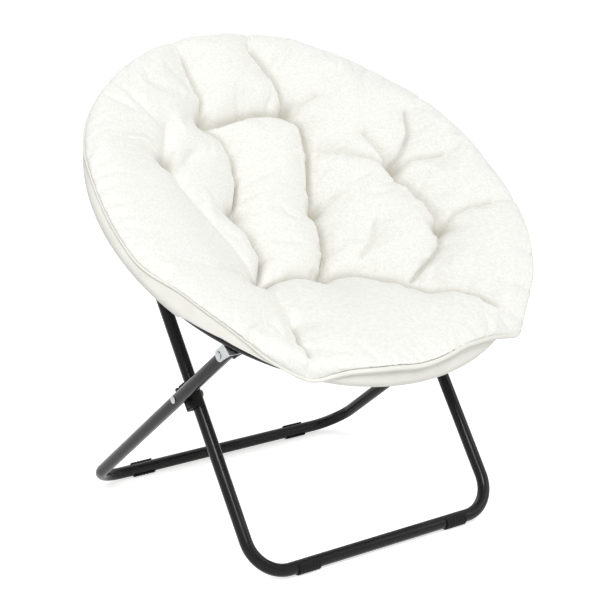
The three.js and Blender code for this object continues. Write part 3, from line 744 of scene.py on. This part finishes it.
seam_out = round_the_ring([(k[0], k[1]) for k in seam_knots])
seam_high = round_the_ring([(k[0], k[2]) for k in seam_knots])
print("the seam rises from", round(float(seam_high(turn_grid).min()), 1), "to",
      round(float(seam_high(turn_grid).max()), 1), "mm over the ring")

# %% [markdown]
# The face is quilted: nine threads pull it down to the padding's floor, and the cloth folds into
# creases from thread to thread and out to the rim. Puffs stand between the creases. The floor is
# a bowl, and a puff's height grows with the distance from the nearest crease, steeply at first,
# the way a filled pillow leaves its seam. Sculpting would do as well, but a list of threads and
# creases can be set against the photograph one by one and changed without starting again.

# %% Tufts and creases
floor_rim = 22
floor_depth = 168
tufts = {  # places in the ring's plane
    "top_left": (-69, 254), "top_right": (107, 252), "side_left": (-195, 158),
    "side_right": (252, 85), "back_left": (-71, 83), "back_right": (96, 67),
    "low_right": (263, -73), "seat_left": (-101, -76), "seat_right": (34, -75),
}
tuft_width = 30
creases = [  # depth as a share of the puff, width, and places on the way
    (1.00, 54, ["top_left", (-36, 251), (22, 257), (68, 254), "top_right"]),
    (0.95, 66, ["top_left", (-40, 219), (-30, 187), (-34, 148), (-50, 114), "back_left"]),
    (0.97, 66, ["back_left", (-56, 39), (-59, -15), "seat_left"]),
    (0.97, 66, ["top_right", (126, 217), (123, 168), (103, 110), "back_right"]),
    (1.00, 66, ["back_right", (88, 28), (68, -25), "seat_right"]),
    (1.00, 60, ["seat_left", (-60, -70), (-29, -67), (5, -71), "seat_right", (60, -80), (87, -89),
                (119, -116), (147, -145), (170, -185)]),
    (0.92, 52, [(170, -185), (196, -215), (213, -252), (211, -295), (203, -334)]),
    (0.85, 46, ["top_left", (-61, 289), (-72, 316), (-84, 350)]),
    (0.85, 46, ["top_right", (105, 274), (94, 312), (69, 348), (57, 365)]),
    (0.40, 26, ["top_right", (135, 252), (162, 256)]),
    (0.30, 30, ["side_left", (-190, 178), (-183, 196), (-176, 220)]),
    (0.26, 30, ["side_left", (-178, 152), (-153, 163), (-130, 180)]),
    (0.36, 46, ["side_left", (-182, 113), (-157, 72), (-134, 25), "seat_left"]),
    (0.70, 34, ["side_right", (280, 108), (300, 130), (308, 168)]),
    (0.50, 30, ["side_right", (292, 76), (329, 63)]),
    (0.55, 30, ["side_right", (238, 122), (224, 160)]),
    (0.42, 28, ["side_right", (211, 115), (175, 142), (142, 164)]),
    (0.80, 50, ["side_right", (247, 56), (258, 38), (268, -10), (268, -48), "low_right"]),
    (0.62, 34, ["low_right", (292, -61), (320, -62), (347, -74)]),
    (0.75, 46, ["low_right", (239, -109), (215, -125), (192, -136), (165, -150)]),
    (0.35, 28, ["back_right", (110, 68), (137, 72)]),
    (0.30, 34, [(166, -12), (140, -45), (112, -66)]),
    (0.22, 40, ["seat_left", (-118, -150), (-128, -209)]),
    (0.88, 40, [(-128, -209), (-158, -262), (-170, -292), (-190, -325), (-204, -343)]),
]
puff_height = 46
puff_rim_height = 13
puff_power = 0.55
crown_start, crown_width = 0.62, 0.36  # shares of the radius where puffs ease to the rim's height
front_ease = 8  # the seat's front lobe is pressed this much flatter than the back
front_start, front_width = -70, 20
print("tufts", len(tufts), "creases", len(creases))


def crease_points(points):
    return np.array([tufts[p] if isinstance(p, str) else p for p in points], float)


def distance_to(x, v, points):
    """Distance from each place to a line of points"""
    nearest = np.full(x.shape, np.inf)
    for (ax, av), (bx, bv) in zip(points[:-1], points[1:]):
        dx, dv = bx - ax, bv - av
        t = np.clip(((x - ax) * dx + (v - av) * dv) / (dx * dx + dv * dv), 0, 1)
        nearest = np.minimum(nearest, np.hypot(x - ax - t * dx, v - av - t * dv))
    return nearest


def rise(distance, width):
    """0 at a crease and 1 at its width, upright at the crease like a filled pillow's side"""
    return (1 - (1 - np.clip(distance / width, 0, 1)) ** 2) ** puff_power


def floor_height(rho):
    return floor_rim - floor_depth * (1 - (rho / radius) ** 2)


def face_height(x, v):
    """The plush face over a place in the ring's plane, inside the rim"""
    rho = np.hypot(x, v)
    edge = np.clip((rho / radius - crown_start) / crown_width, 0, 1)
    middle_height = puff_height - front_ease * np.clip((front_start - v) / front_width, 0, 1)
    puff = middle_height + (puff_rim_height - middle_height) * edge * edge * (3 - 2 * edge)
    share = np.ones_like(rho)
    for depth, width, points in creases:
        share *= 1 - depth * (1 - rise(distance_to(x, v, crease_points(points)), width))
    for tx, tv in tufts.values():
        share *= rise(np.hypot(x - tx, v - tv), tuft_width)
    return floor_height(rho) + puff * share


# %% [markdown]
# A disc made of a square grid has even cells all over and no pinched centre. Each square ring of
# the grid becomes a circle. The inner circles carry the quilted face; the outer ones roll over
# the rim along a curve that leaves the face in its own direction and comes home to the seam.

# %% The plush face
face_cells = 110  # while it is filled; the finished face has twice as many
roll_start = 0.90  # share of the disc where the rim's roll begins
roll_inset = 16
roll_lead = 14  # how far the roll goes on in the face's own direction
slope_step = 3  # the face's direction is measured over this length
slope_least, slope_most = -0.2, 0.9
pinch_drop = 1.6  # a pinch pulls this much further down than in
pinch_power = 1.3
tiny = 1e-9  # keeps a division from meeting zero
roll_out = round_the_ring([  # how far the roll's handle stands out of the seam, and how high over it
    (0, 29), (12, 26), (22, 21), (40, 14), (90, 11), (110, 13), (140, 10), (180, 9), (205, 8), (225, 12),
    (241, 3), (255, 3), (270, 3), (290, 4), (302, 4), (307, 32), (314, 52), (322, 56), (332, 52),
    (342, 44), (350, 34),
], blur=4)
roll_up = round_the_ring([
    (0, 15), (40, 19), (90, 30), (110, 28), (140, 18), (180, 13), (205, 9), (225, 15), (241, 12),
    (255, 9), (270, 8), (290, 9), (305, 14), (322, 14), (345, 12),
], blur=6)
pinches = [  # where a crease runs out over the crown: degrees, how deep, how wide in degrees
    (28, 2, 3), (81, 2, 2.6), (103, 5, 2.6), (130, 2, 2.6), (201, 2, 3), (241, 6, 2.6),
    (301, 5, 2.6), (348, 2, 3),
]


def pinch(degrees):
    """How far the crown is pulled in at a turn round the ring"""
    total = np.zeros(np.shape(degrees))
    for middle_turn, depth, width in pinches:
        away = (np.asarray(degrees) - middle_turn + 180) % 360 - 180
        total = total + depth * np.exp(-np.abs(away / width) ** pinch_power)
    return total


def square_to_disc(a, b):
    """A square's place (-1 to 1) on the unit disc, ring by ring"""
    wide = np.abs(a) > np.abs(b)
    with np.errstate(divide="ignore", invalid="ignore"):
        reach = np.where(wide, a, b)
        turn = np.where(wide, math.pi / 4 * b / a, math.pi / 2 - math.pi / 4 * a / b)
    turn = np.where((a == 0) & (b == 0), 0, turn)
    return reach * np.cos(turn), reach * np.sin(turn)


def face_points(unit_x, unit_v):
    """Places on the unit disc, carried to the face and over the rim to the seam.

    The roll over the rim is a curve with two handles: first, in the face's own direction, and
    second, outside the seam and over it.
    """
    share = np.clip(np.hypot(unit_x, unit_v), tiny, 1)
    cos, sin = unit_x / share, unit_v / share
    degrees = np.degrees(np.arctan2(sin, cos))
    start = radius - roll_inset
    rho = np.minimum(share / roll_start, 1) * start
    high = face_height(rho * cos, rho * sin)
    inner = face_height((start - slope_step) * cos, (start - slope_step) * sin)
    edge = face_height(start * cos, start * sin)
    slope = np.clip((edge - inner) / slope_step, slope_least, slope_most)
    t = np.clip((share - roll_start) / (1 - roll_start), 0, 1)
    end_out, end_high = radius + seam_out(degrees), seam_high(degrees)
    first = (start + roll_lead, edge + roll_lead * slope)
    pulled = pinch(degrees)
    second = (end_out + roll_out(degrees) - pulled,
              end_high + roll_up(degrees) - pinch_drop * pulled)
    pull = [(1 - t) ** 3, 3 * t * (1 - t) ** 2, 3 * t * t * (1 - t), t ** 3]
    rolled_rho = pull[0] * start + pull[1] * first[0] + pull[2] * second[0] + pull[3] * end_out
    rolled_high = pull[0] * edge + pull[1] * first[1] + pull[2] * second[1] + pull[3] * end_high
    rho = np.where(share > roll_start, rolled_rho, rho)
    high = np.where(share > roll_start, rolled_high, high)
    return np.stack([rho * cos, rho * sin, high], axis=-1)


def disc_grid(cells):
    """Places on the unit disc, their faces, and the numbers of the rim's points in turn"""
    line = np.linspace(-1, 1, cells + 1)
    a, b = np.meshgrid(line, line, indexing="ij")
    x, v = square_to_disc(a.ravel(), b.ravel())
    faces = grid_faces(cells + 1, cells + 1)
    rim = [(i, 0) for i in range(cells)]
    rim += [(cells, j) for j in range(cells)]
    rim += [(i, cells) for i in range(cells, 0, -1)]
    rim += [(0, j) for j in range(cells, 0, -1)]
    return x, v, faces, [i * (cells + 1) + j for i, j in rim]


print("the face has", (2 * face_cells + 1) ** 2, "points")

# %% [markdown]
# Under the face the cushion is closed by a plain lining that lies on the sling: in from the
# seam, down inside the ring tube and along the bowl. Nobody sees it, so it has few rings, but a
# cushion has to be closed before it can be filled.

# %% The cushion's lining
sling_shares = [  # radius and height of the sling's upper face, as shares of the ring's radius
    (0, -0.478), (0.3, -0.442), (0.5, -0.372), (0.68, -0.276), (0.82, -0.174), (0.91, -0.088),
]
lining_lift = 2.0
lining_shares = (0.9, 0.8, 0.68, 0.54, 0.4, 0.26, 0.13)
tube_top = 12.0  # just over the tube, which the cushion lies on
lining_in, lining_down = 6, 7  # the first ring lies this far in from the seam and below it
lining_clear = 2.5  # and at least this far over the tube's top
top_inset, side_inset = 13, 19  # the lining leaves the tube's top and goes down beside it


def sling_height(rho):
    shares = np.array(sling_shares)
    fit = np.polyfit(shares[:, 0] ** 2, shares[:, 1], 3)
    return np.polyval(fit, (rho / radius) ** 2) * radius


def lining_rings(cos, sin, degrees):
    """Rings of points in from the seam, down inside the tube and along the sling"""
    out, high = radius + seam_out(degrees), seam_high(degrees)
    first_height = np.maximum(high - lining_down, tube_top + lining_clear)
    rings = [(np.minimum(out, radius) - lining_in, first_height),
             (np.full_like(out, radius - top_inset), np.full_like(out, tube_top)),
             (np.full_like(out, radius - side_inset), np.full_like(out, -tube_top / 2))]
    for share in lining_shares:
        rho = np.full_like(out, share * radius)
        rings.append((rho, sling_height(rho) + lining_lift))
    return [np.stack([rho * cos, rho * sin, height], axis=-1) for rho, height in rings]


def closed_cushion(cells):
    """Points and faces of the whole cushion, its face on a grid of so many cells"""
    x, v, faces, rim = disc_grid(cells)
    points = [face_points(x, v)]
    rim_x, rim_v = x[rim], v[rim]
    degrees = np.degrees(np.arctan2(rim_v, rim_x))
    size = len(rim)
    previous = rim
    count = len(x)
    for ring in lining_rings(rim_x, rim_v, degrees):
        points.append(ring)
        current = list(range(count, count + size))
        faces += [(previous[k], previous[(k + 1) % size], current[(k + 1) % size], current[k])
                  for k in range(size)]
        previous, count = current, count + size
    points.append(np.array([[0, 0, sling_height(0) + lining_lift]]))
    faces += [(previous[k], previous[(k + 1) % size], count) for k in range(size)]
    return np.concatenate(points), faces


# %% [markdown]
# The cover is then filled. Blender's cloth swells it from inside with gravity off, while the seam,
# the lining and the tufts hold still and the creases hold by their depth. A little spare cloth
# lets it wrinkle round the tufts. No point may move more than the limit. The result is carried to
# a grid twice as fine, which keeps the creases sharp, and no cloth modifier is left.

# %% Filling
cloth_frames = 20
cloth_pressure = 4.0
cloth_spare = 0.03
bulge_limit = 24.0
crease_hold = 6.0  # how near to a crease the cloth is held
crease_grip = 1.1  # how firmly, for a crease of full depth
tuft_hold = 8
over_rim_grip = 0.3  # the creases' share of their grip where the face rolls over the rim
seam_hold_start, seam_hold_width = 0.955, 0.03  # shares of the disc
cloth_recipe = {
    "quality": 5, "mass": 0.3, "air_damping": 2,
    "tension_stiffness": 12, "compression_stiffness": 12, "shear_stiffness": 5,
    "bending_stiffness": 0.3, "use_pressure": True, "uniform_pressure_force": cloth_pressure,
    "shrink_min": -cloth_spare, "vertex_group_mass": "held",
}


def holding(points):
    """How firmly each point of the cover is held, 0 to 1"""
    x, v = points[:, 0], points[:, 1]
    held = np.zeros(len(points))
    for depth, _, line in creases:
        near = np.exp(-(distance_to(x, v, crease_points(line)) / crease_hold) ** 2)
        held = np.maximum(held, near * min(1, crease_grip * depth))
    for tx, tv in tufts.values():
        held = np.maximum(held, np.hypot(x - tx, v - tv) < tuft_hold)
    unit_x, unit_v, *_ = disc_grid(face_cells)
    share = np.hypot(unit_x, unit_v)
    face = np.where(share > roll_start, held[:len(share)] * over_rim_grip, held[:len(share)])
    at_seam = np.clip((share - seam_hold_start) / seam_hold_width, 0, 1)
    held[:len(share)] = np.maximum(face, at_seam)
    held[len(share):] = 1
    return held


def finer(field):
    """A square grid of values on twice as many cells, along smooth curves"""
    for axis in (0, 1):
        field = np.moveaxis(field, axis, 0)
        ends = np.concatenate([2 * field[:1] - field[1:2], field, 2 * field[-1:] - field[-2:-1]])
        whole = np.empty((2 * len(field) - 1, *field.shape[1:]))
        whole[::2] = field
        whole[1::2] = (9 * (ends[1:-2] + ends[2:-1]) - ends[:-3] - ends[3:]) / 16
        field = np.moveaxis(whole, 0, axis)
    return field


def filled(piece, points):
    """How far a filled cushion's cover moves, at each point of the finished face's grid"""
    group = piece.vertex_groups.new(name="held")
    for index, weight in enumerate(holding(points)):
        group.add([index], float(weight), "REPLACE")
    cloth = piece.modifiers.new("cloth", "CLOTH")
    cloth.collision_settings.use_collision = False
    cloth.collision_settings.use_self_collision = False
    for setting, value in cloth_recipe.items():
        setattr(cloth.settings, setting, value)
    cloth.settings.effector_weights.gravity = 0
    scene = bpy.context.scene
    for number in range(1, cloth_frames + 1):
        scene.frame_set(number)
    swollen = piece.evaluated_get(bpy.context.evaluated_depsgraph_get()).data
    after = np.zeros(3 * len(swollen.vertices), np.float32)
    swollen.vertices.foreach_get("co", after)
    before = np.zeros_like(after)
    piece.data.vertices.foreach_get("co", before)
    piece.modifiers.remove(cloth)
    piece.vertex_groups.remove(group)
    scene.frame_set(1)
    moved = (after - before).reshape(-1, 3)[:(face_cells + 1) ** 2]
    length = np.linalg.norm(moved, axis=1)
    limit = bulge_limit * mm
    moved *= (limit * np.tanh(length / limit) / np.maximum(length, tiny))[:, None]
    capped = np.linalg.norm(moved, axis=1) / mm
    print("the cloth moved", round(float(capped.mean()), 1), "mm on average, at most",
          round(float(capped.max()), 1))
    return finer(moved.reshape(face_cells + 1, face_cells + 1, 3)).reshape(-1, 3)


# %% [markdown]
# Filling rounds everything off, so the thread is drawn tight again afterwards: a narrow groove along
# each crease, by its depth, and a dimple where each tuft's thread goes through. The same nearness to the
# creases and tufts also sets a painted shade there: the plush is coloured darker where shade falls in
# them.

# %% Sewing
groove_width = 3.4
groove_depth = 6.0
dimple_width = 9.0
dimple_depth = 11.0
# Painted shade along the creases and round the tufts: its width and strength
shade_width = 4.2  # how wide the painted shade along a crease is
shade_share = 0.8
tuft_shade_width = 1.6 * dimple_width
tuft_shade_share = 1.0
shallow_power = 1.3  # makes a shallow crease's groove shallower still
rim_clear, rim_fade = 2, 20  # the thread's pull ends short of the rim


def sewn(points, crease_width, crease_share, tuft_reach, tuft_share):
    """How near each point of the face is to a crease or a tuft, by depth: the thread's pull, and the
    painted shade
    """
    x, v = points[:, 0], points[:, 1]
    strength = np.zeros(len(points))
    for depth, _, line in creases:
        near = np.exp(-(distance_to(x, v, crease_points(line)) / crease_width) ** 2)
        strength = np.maximum(strength, crease_share * depth ** shallow_power * near)
    for tx, tv in tufts.values():
        near = np.exp(-(np.hypot(x - tx, v - tv) / tuft_reach) ** 2)
        strength = np.maximum(strength, tuft_share * near)
    return strength * np.clip((radius - rim_clear - np.hypot(x, v)) / rim_fade, 0, 1)


print("grooves", len(creases), "dimples", len(tufts))

# %% [markdown]
# The seat bends with the ring, which folds on a line in front of its middle. So each soft piece is made
# whole, then parted on that line, and its two parts ride on the two arcs. Both parts keep the whole
# piece's normals, so that no line shows where they meet. Real cloth crumples when the ring closes; here
# each part keeps its shape, and the sleeve and the welt sit on the tube itself.

# %% Parting on the hinge line
on_the_line = 1e-7  # a point this near to the hinge line counts as being on it
print("the seat folds on a line", round(hinge_line_place.z, 4), "m high")


def keep_normals(mesh):
    """Writes the whole piece's normals down, so that its parts can keep them"""
    normals = np.zeros(3 * len(mesh.vertices), np.float32)
    mesh.vertices.foreach_get("normal", normals)
    layer = mesh.attributes.new("whole_normal", "FLOAT_VECTOR", "POINT")
    layer.data.foreach_set("vector", normals)


def part_at_hinge(whole, name, way):
    """The part of a closed piece behind (way 1) or in front of (way -1) the hinge line, capped"""
    mesh = whole.data.copy()
    work = bmesh.new()
    work.from_mesh(mesh)
    cut = bmesh.ops.bisect_plane(
        work, geom=[*work.verts, *work.edges, *work.faces], dist=on_the_line,
        plane_co=hinge_line_place, plane_no=way * up_slope, clear_inner=True)
    rim = [e for e in cut["geom_cut"] if isinstance(e, bmesh.types.BMEdge)]
    for face in bmesh.ops.holes_fill(work, edges=rim, sides=0)["faces"]:
        face.smooth = False
    bmesh.ops.recalc_face_normals(work, faces=work.faces)
    work.to_mesh(mesh)
    work.free()
    normals = np.zeros(3 * len(mesh.vertices), np.float32)
    mesh.attributes["whole_normal"].data.foreach_get("vector", normals)
    mesh.attributes.remove(mesh.attributes["whole_normal"])
    mesh.normals_split_custom_set_from_vertices(normals.reshape(-1, 3))
    piece = bpy.data.objects.new(name, mesh)
    bpy.context.scene.collection.objects.link(piece)
    return piece


def seat_pieces(whole, name, node, material, slot, flattens=True):
    """The two halves of a soft piece, one on each arc of the ring"""
    keep_normals(whole.data)
    halves = []
    for end, way in (("rear", 1), ("front", -1)):
        piece = part_at_hinge(whole, f"{name}_{end}", way)
        place(piece, f"ring_{end}", material, slot, f"{node}_{end}")
        if flattens:
            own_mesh(piece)
        halves.append(piece)
        print(piece.name, len(piece.data.vertices), "points")
    bpy.data.objects.remove(whole)
    return halves


# %% [markdown]
# Now the cushion is put together: the shaped cover on its fine grid, the grooves and dimples of the
# thread, and what the cloth moved when it was filled. A painted shade along the creases and round the
# tufts is kept on the mesh as an attribute, which the plush reads to darken its colour there.

# %% The cushion
points, faces = closed_cushion(2 * face_cells)
face_size = (2 * face_cells + 1) ** 2
face = points[:face_size].copy()
# Painted shade: how much darker the plush is coloured along the creases and round the tufts
parted = np.zeros(len(points))
parted[:face_size] = sewn(face, shade_width, shade_share, tuft_shade_width, tuft_shade_share)
points[:face_size, 2] -= sewn(face, groove_width, groove_depth, dimple_width, dimple_depth)
cover = from_ring(points * mm)
trial_points, trial_faces = closed_cushion(face_cells)
trial = mesh_object("trial_cushion", from_ring(trial_points * mm), trial_faces)
cover[:face_size] += filled(trial, trial_points)
bpy.data.objects.remove(trial)
whole_cushion = mesh_object("whole_cushion", cover, faces)
whole_cushion.data.attributes.new("parted", "FLOAT", "POINT").data.foreach_set("value", parted)
for piece in seat_pieces(whole_cushion, "cushion", "seat_cushion", plush, "plush"):
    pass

# %% [markdown]
# The backing is a sleeve and a sling, sewn together under the tube. From the seam the sleeve drops
# straight onto the tube and goes round it; the sling runs on under the padding. At each bracket a
# window is cut: there the cloth stops part way round the tube, and the bracket grips bare steel.
# Each column of the sheet has one station on the window's edge, so the edge is a clean curve.

# %% Windows in the sleeve
sleeve_radius = 13.2
sleeve_start = -42  # degrees round the tube: 0 is outwards, 90 up
sleeve_end = -125
cloth_thickness = 1.6
window_edges = [  # degrees round the ring, degrees round the tube where the cloth ends
    (207.6, -42), (208.3, -6), (210.5, 7), (213.5, 15), (219, 29), (226, 22), (233, 4), (238, -12),
    (241, -42), (299, -42), (302, -12), (307, 4), (314, 22), (321, 29), (326.5, 15), (329.5, 7),
    (331.7, -6), (332.4, -42),
    (39.8, -42), (42, -20), (48.8, -8), (55.6, -20), (57.8, -42),
    (122.2, -42), (124.4, -20), (131.2, -8), (138, -20), (140.2, -42),
]
windows = [(207.6, 241), (299, 332.4), (39.8, 57.8), (122.2, 140.2)]
window_columns = 61
corner_columns = 9
first_corner, last_corner = 1.5, 3  # degrees at a window's ends where the columns are closest
least_step = 0.02
print("windows", len(windows))


def in_window(degrees):
    return np.array([any(low < d < high for low, high in windows) for d in np.atleast_1d(degrees)])


def window_edge(degrees):
    knots = sorted(window_edges)
    edge = np.interp(degrees, [k[0] for k in knots], [k[1] for k in knots])
    return np.where(in_window(degrees), edge, sleeve_start)


def sleeve_turns():
    """Columns round the ring, close together where a window's corner is sharp"""
    turns = set(np.arange(0, 360, 1.0))
    for low, high in windows:
        turns |= set(np.linspace(low, high, window_columns))
        turns |= set(np.linspace(low, low + first_corner, corner_columns))
        turns |= set(np.linspace(high - last_corner, high, corner_columns))
    ordered = sorted(turns)
    return np.array([t for t, after in zip(ordered, ordered[1:] + [361]) if after - t > least_step])


# %% [markdown]
# One column of the backing is a line of points in a plane through the ring's middle. It drops
# from the seam straight to the place where it touches the tube, follows the tube round, and then
# lies along the bowl. Every column has as many points as the others, so they join up as a grid.

# %% A column of the backing
drop_steps = 14
wrap_steps = 9
bowl_insets = (20, 30, 44, 62, 84, 110, 140, 172, 206, 240, 275, 310, 345)
least_standoff = 0.2  # a line can touch the tube only from a little outside it
least_wrap = 1  # degrees of the tube that the cloth always goes round
print("points in a column", drop_steps + 1 + wrap_steps + len(bowl_insets))


def on_tube(turn):
    """A place on the sleeve round the tube, turn in radians"""
    return (sleeve_radius * math.cos(turn), sleeve_radius * math.sin(turn))


def sleeve_section(degrees, edge):
    """Points (outwards from the ring's centre line, height) from the seam to the bowl's middle"""
    out, high = float(seam_out(degrees)), float(seam_high(degrees))
    reach = max(math.hypot(out, high), sleeve_radius + least_standoff)
    touch = math.degrees(math.atan2(high, out) - math.acos(sleeve_radius / reach))
    touch = max(touch, edge + least_wrap)
    touch_out, touch_high = on_tube(math.radians(touch))
    line = math.hypot(out - touch_out, high - touch_high)
    arc = math.radians(touch - edge) * sleeve_radius
    points = []
    for i in range(drop_steps + 1):
        way = (line + arc) * i / drop_steps
        if way < line:
            t = way / line
            points.append((out + (touch_out - out) * t, high + (touch_high - high) * t))
        else:
            points.append(on_tube(math.radians(touch) - (way - line) / sleeve_radius))
    for i in range(1, wrap_steps + 1):
        points.append(on_tube(math.radians(edge + (sleeve_end - edge) * i / wrap_steps)))
    for inset in bowl_insets:
        points.append((-inset, float(sling_height(radius - inset)) - cloth_thickness / 2))
    return points


# %% [markdown]
# The columns are joined into one sheet, which is parted along the tube: the sleeve keeps its shape there
# when the chair folds, and so does the sling. A solidify modifier gives the cloth its thickness.

# %% Sleeve and sling
window_rows_inside = 2  # rows beyond the tube that a window also leaves out


def backing_sheet(name, wanted):
    """The part of the backing whose columns of faces are wanted, as a sheet of cloth"""
    turns = sleeve_turns()
    edges = window_edge(turns)
    points = []
    for turn, edge in zip(turns, edges):
        cos, sin = math.cos(math.radians(turn)), math.sin(math.radians(turn))
        for out, high in sleeve_section(turn, float(edge)):
            points.append(((radius + out) * cos, (radius + out) * sin, high))
    columns = len(points) // len(turns)
    rows = len(turns)
    open_steps = range(drop_steps, drop_steps + wrap_steps + window_rows_inside)
    faces = []
    middles = (turns + np.append(turns[1:], 360)) / 2
    gone = in_window(middles)
    for i in range(rows):
        after = (i + 1) % rows
        for j in range(columns - 1):
            if j not in wanted or gone[i] and j in open_steps:
                continue
            here, there = i * columns + j, after * columns + j
            faces.append((here, here + 1, there + 1, there))
    centre = len(points)
    points.append((0, 0, float(sling_height(0)) - cloth_thickness / 2))
    if columns - 2 in wanted:
        for i in range(rows):
            faces.append((i * columns + columns - 1, centre, (i + 1) % rows * columns + columns - 1))
    used = sorted({index for face in faces for index in face})
    renumbered = {index: number for number, index in enumerate(used)}
    faces = [tuple(renumbered[index] for index in face) for face in faces]
    sheet = mesh_object(name, from_ring(np.array(points)[used] * mm), faces)
    thick = sheet.modifiers.new("cloth", "SOLIDIFY")
    thick.thickness = cloth_thickness * mm
    thick.offset = 0
    return applied(sheet)


sleeve_columns = range(drop_steps + wrap_steps)
sling_columns = range(drop_steps + wrap_steps, drop_steps + wrap_steps + len(bowl_insets))


whole_sleeve = backing_sheet("whole_sleeve", sleeve_columns)
whole_sling = backing_sheet("whole_sling", sling_columns)
sheets = seat_pieces(whole_sleeve, "sleeve", "seat_sling", backing, "backing", flattens=False)
sheets += seat_pieces(whole_sling, "sling", "seat_sling", backing, "backing")
for piece in sheets:
    tube = f"ring_{piece.name.split('_')[1]}_tube"

# %% [markdown]
# The welt is a cord in a strip of the backing cloth, sewn into the seam. It follows the seam's
# curve all the way round, a little outside it, and is fuller and looser along the front. A
# bevelled curve would be the quick way; a mesh is chosen because it can change its thickness
# along the way and be parted cleanly at the hinge.

# %% The welt
welt_radius = round_the_ring([
    (0, 2.4), (236, 2.4), (248, 3.8), (262, 4.4), (275, 3.6), (288, 4.2), (303, 3.4), (312, 2.4),
])
welt_out = round_the_ring([
    (0, 1.2), (236, 1.6), (248, 4.5), (262, 5.5), (275, 4.5), (288, 4.5), (303, 2), (312, 1.2),
])
welt_sides = 14
welt_turns = np.arange(0, 360, 0.75)


def welt_loop():
    """A closed tube along the seam: round sections, square to the line at every turn"""
    turn = np.radians(welt_turns)
    reach = radius + seam_out(welt_turns) + welt_out(welt_turns)
    line = np.stack([reach * np.cos(turn), reach * np.sin(turn), seam_high(welt_turns)], axis=-1)
    along = np.roll(line, -1, axis=0) - np.roll(line, 1, axis=0)
    along /= np.linalg.norm(along, axis=1)[:, None]
    outwards = np.stack([np.cos(turn), np.sin(turn), np.zeros_like(turn)], axis=-1)
    outwards -= along * (outwards * along).sum(axis=1)[:, None]
    outwards /= np.linalg.norm(outwards, axis=1)[:, None]
    over = np.cross(along, outwards)
    around = np.linspace(0, 2 * math.pi, welt_sides, endpoint=False)
    ring = np.cos(around)[None, :, None] * outwards[:, None]
    ring = ring + np.sin(around)[None, :, None] * over[:, None]
    thickness = welt_radius(welt_turns)[:, None, None]
    points = (line[:, None] + thickness * ring).reshape(-1, 3)
    faces = grid_faces(len(welt_turns), welt_sides, close_rows=True, close_columns=True)
    return mesh_object("whole_piping", from_ring(points * mm), faces)


seat_pieces(welt_loop(), "piping", "seat_piping", backing, "backing", flattens=False)

# %% [markdown]
# The photograph is a cut-out on white with hardly a shadow. The floor here is a plain pale one.
# To the camera and in reflections it glows a little as well, enough to reach white in the open
# and to keep a faint shadow under the bars; to the light that fills the room it is a dull pale
# floor, so that it doesn't light the chair from below more than paper would.

# %% White floor
floor_size = 40
floor_glow = 0.62


def seen_directly(tree):
    """1 for what the camera, a reflection or a clear pane sees, 0 for scattered light"""
    path = add(tree, "ShaderNodeLightPath")
    seen = path.outputs["Is Camera Ray"]
    for ray in ("Is Glossy Ray", "Is Transmission Ray"):
        both = add(tree, "ShaderNodeMath", [(0, seen), (1, path.outputs[ray])], operation="MAXIMUM")
        seen = both.outputs[0]
    return seen


def white_floor():
    bpy.ops.mesh.primitive_plane_add(size=floor_size, location=(0, 0, 0))
    floor = bpy.context.object
    floor.name = "floor"
    material, tree, shader = new_material("floor_white", (0.85, 0.85, 0.85), 0.9)
    shader.inputs["Specular IOR Level"].default_value = 0.1
    glow = add(tree, "ShaderNodeEmission", Strength=floor_glow)
    glow.inputs["Color"].default_value = (1, 1, 1, 1)
    both = add(tree, "ShaderNodeAddShader")
    tree.links.new(shader.outputs["BSDF"], both.inputs[0])
    tree.links.new(glow.outputs["Emission"], both.inputs[1])
    mix = add(tree, "ShaderNodeMixShader", [("Fac", seen_directly(tree))])
    tree.links.new(shader.outputs["BSDF"], mix.inputs[1])
    tree.links.new(both.outputs["Shader"], mix.inputs[2])
    tree.links.new(mix.outputs["Shader"], tree.nodes["Material Output"].inputs["Surface"])
    floor.data.materials.append(material)
    print(floor.name, floor_size, "m across")


white_floor()

# %% [markdown]
# Studio light: a big soft box high above the camera, a weaker one from the sitter's left, a strip
# high behind for the rim, and an even white room that fills every shadow. All of it is kept so
# low that the pale cloth stays just short of white.

# %% Lights
aim = Vector((0, 0, 0.45))
room_light = 0.46


def soft_box(name, place_of_box, width, height, power):
    data = bpy.data.lights.new(name, "AREA")
    data.shape = "RECTANGLE"
    data.size = width
    data.size_y = height
    data.energy = power
    box = bpy.data.objects.new(name, data)
    bpy.context.scene.collection.objects.link(box)
    box.location = place_of_box
    box.rotation_mode = "QUATERNION"
    box.rotation_quaternion = (aim - Vector(place_of_box)).to_track_quat("-Z", "Y")
    print(name, power, "W")


soft_box("key", (-1.2, -2.0, 2.7), 1.3, 1.3, 63)
soft_box("fill", (2.1, -1.6, 1.4), 1.4, 1.4, 8)
soft_box("rim", (0.4, 2.3, 2.4), 2.0, 0.7, 20)
world = bpy.data.worlds.new("white_room")
world.use_nodes = True
room = world.node_tree.nodes["Background"]
strength = add(world.node_tree, "ShaderNodeMapRange", [("Value", seen_directly(world.node_tree))])
strength.inputs["To Min"].default_value = room_light
strength.inputs["To Max"].default_value = 1
room.inputs["Color"].default_value = (1, 1, 1, 1)
world.node_tree.links.new(strength.outputs["Result"], room.inputs["Strength"])
bpy.context.scene.world = world
bpy.context.scene.view_settings.view_transform = "Standard"
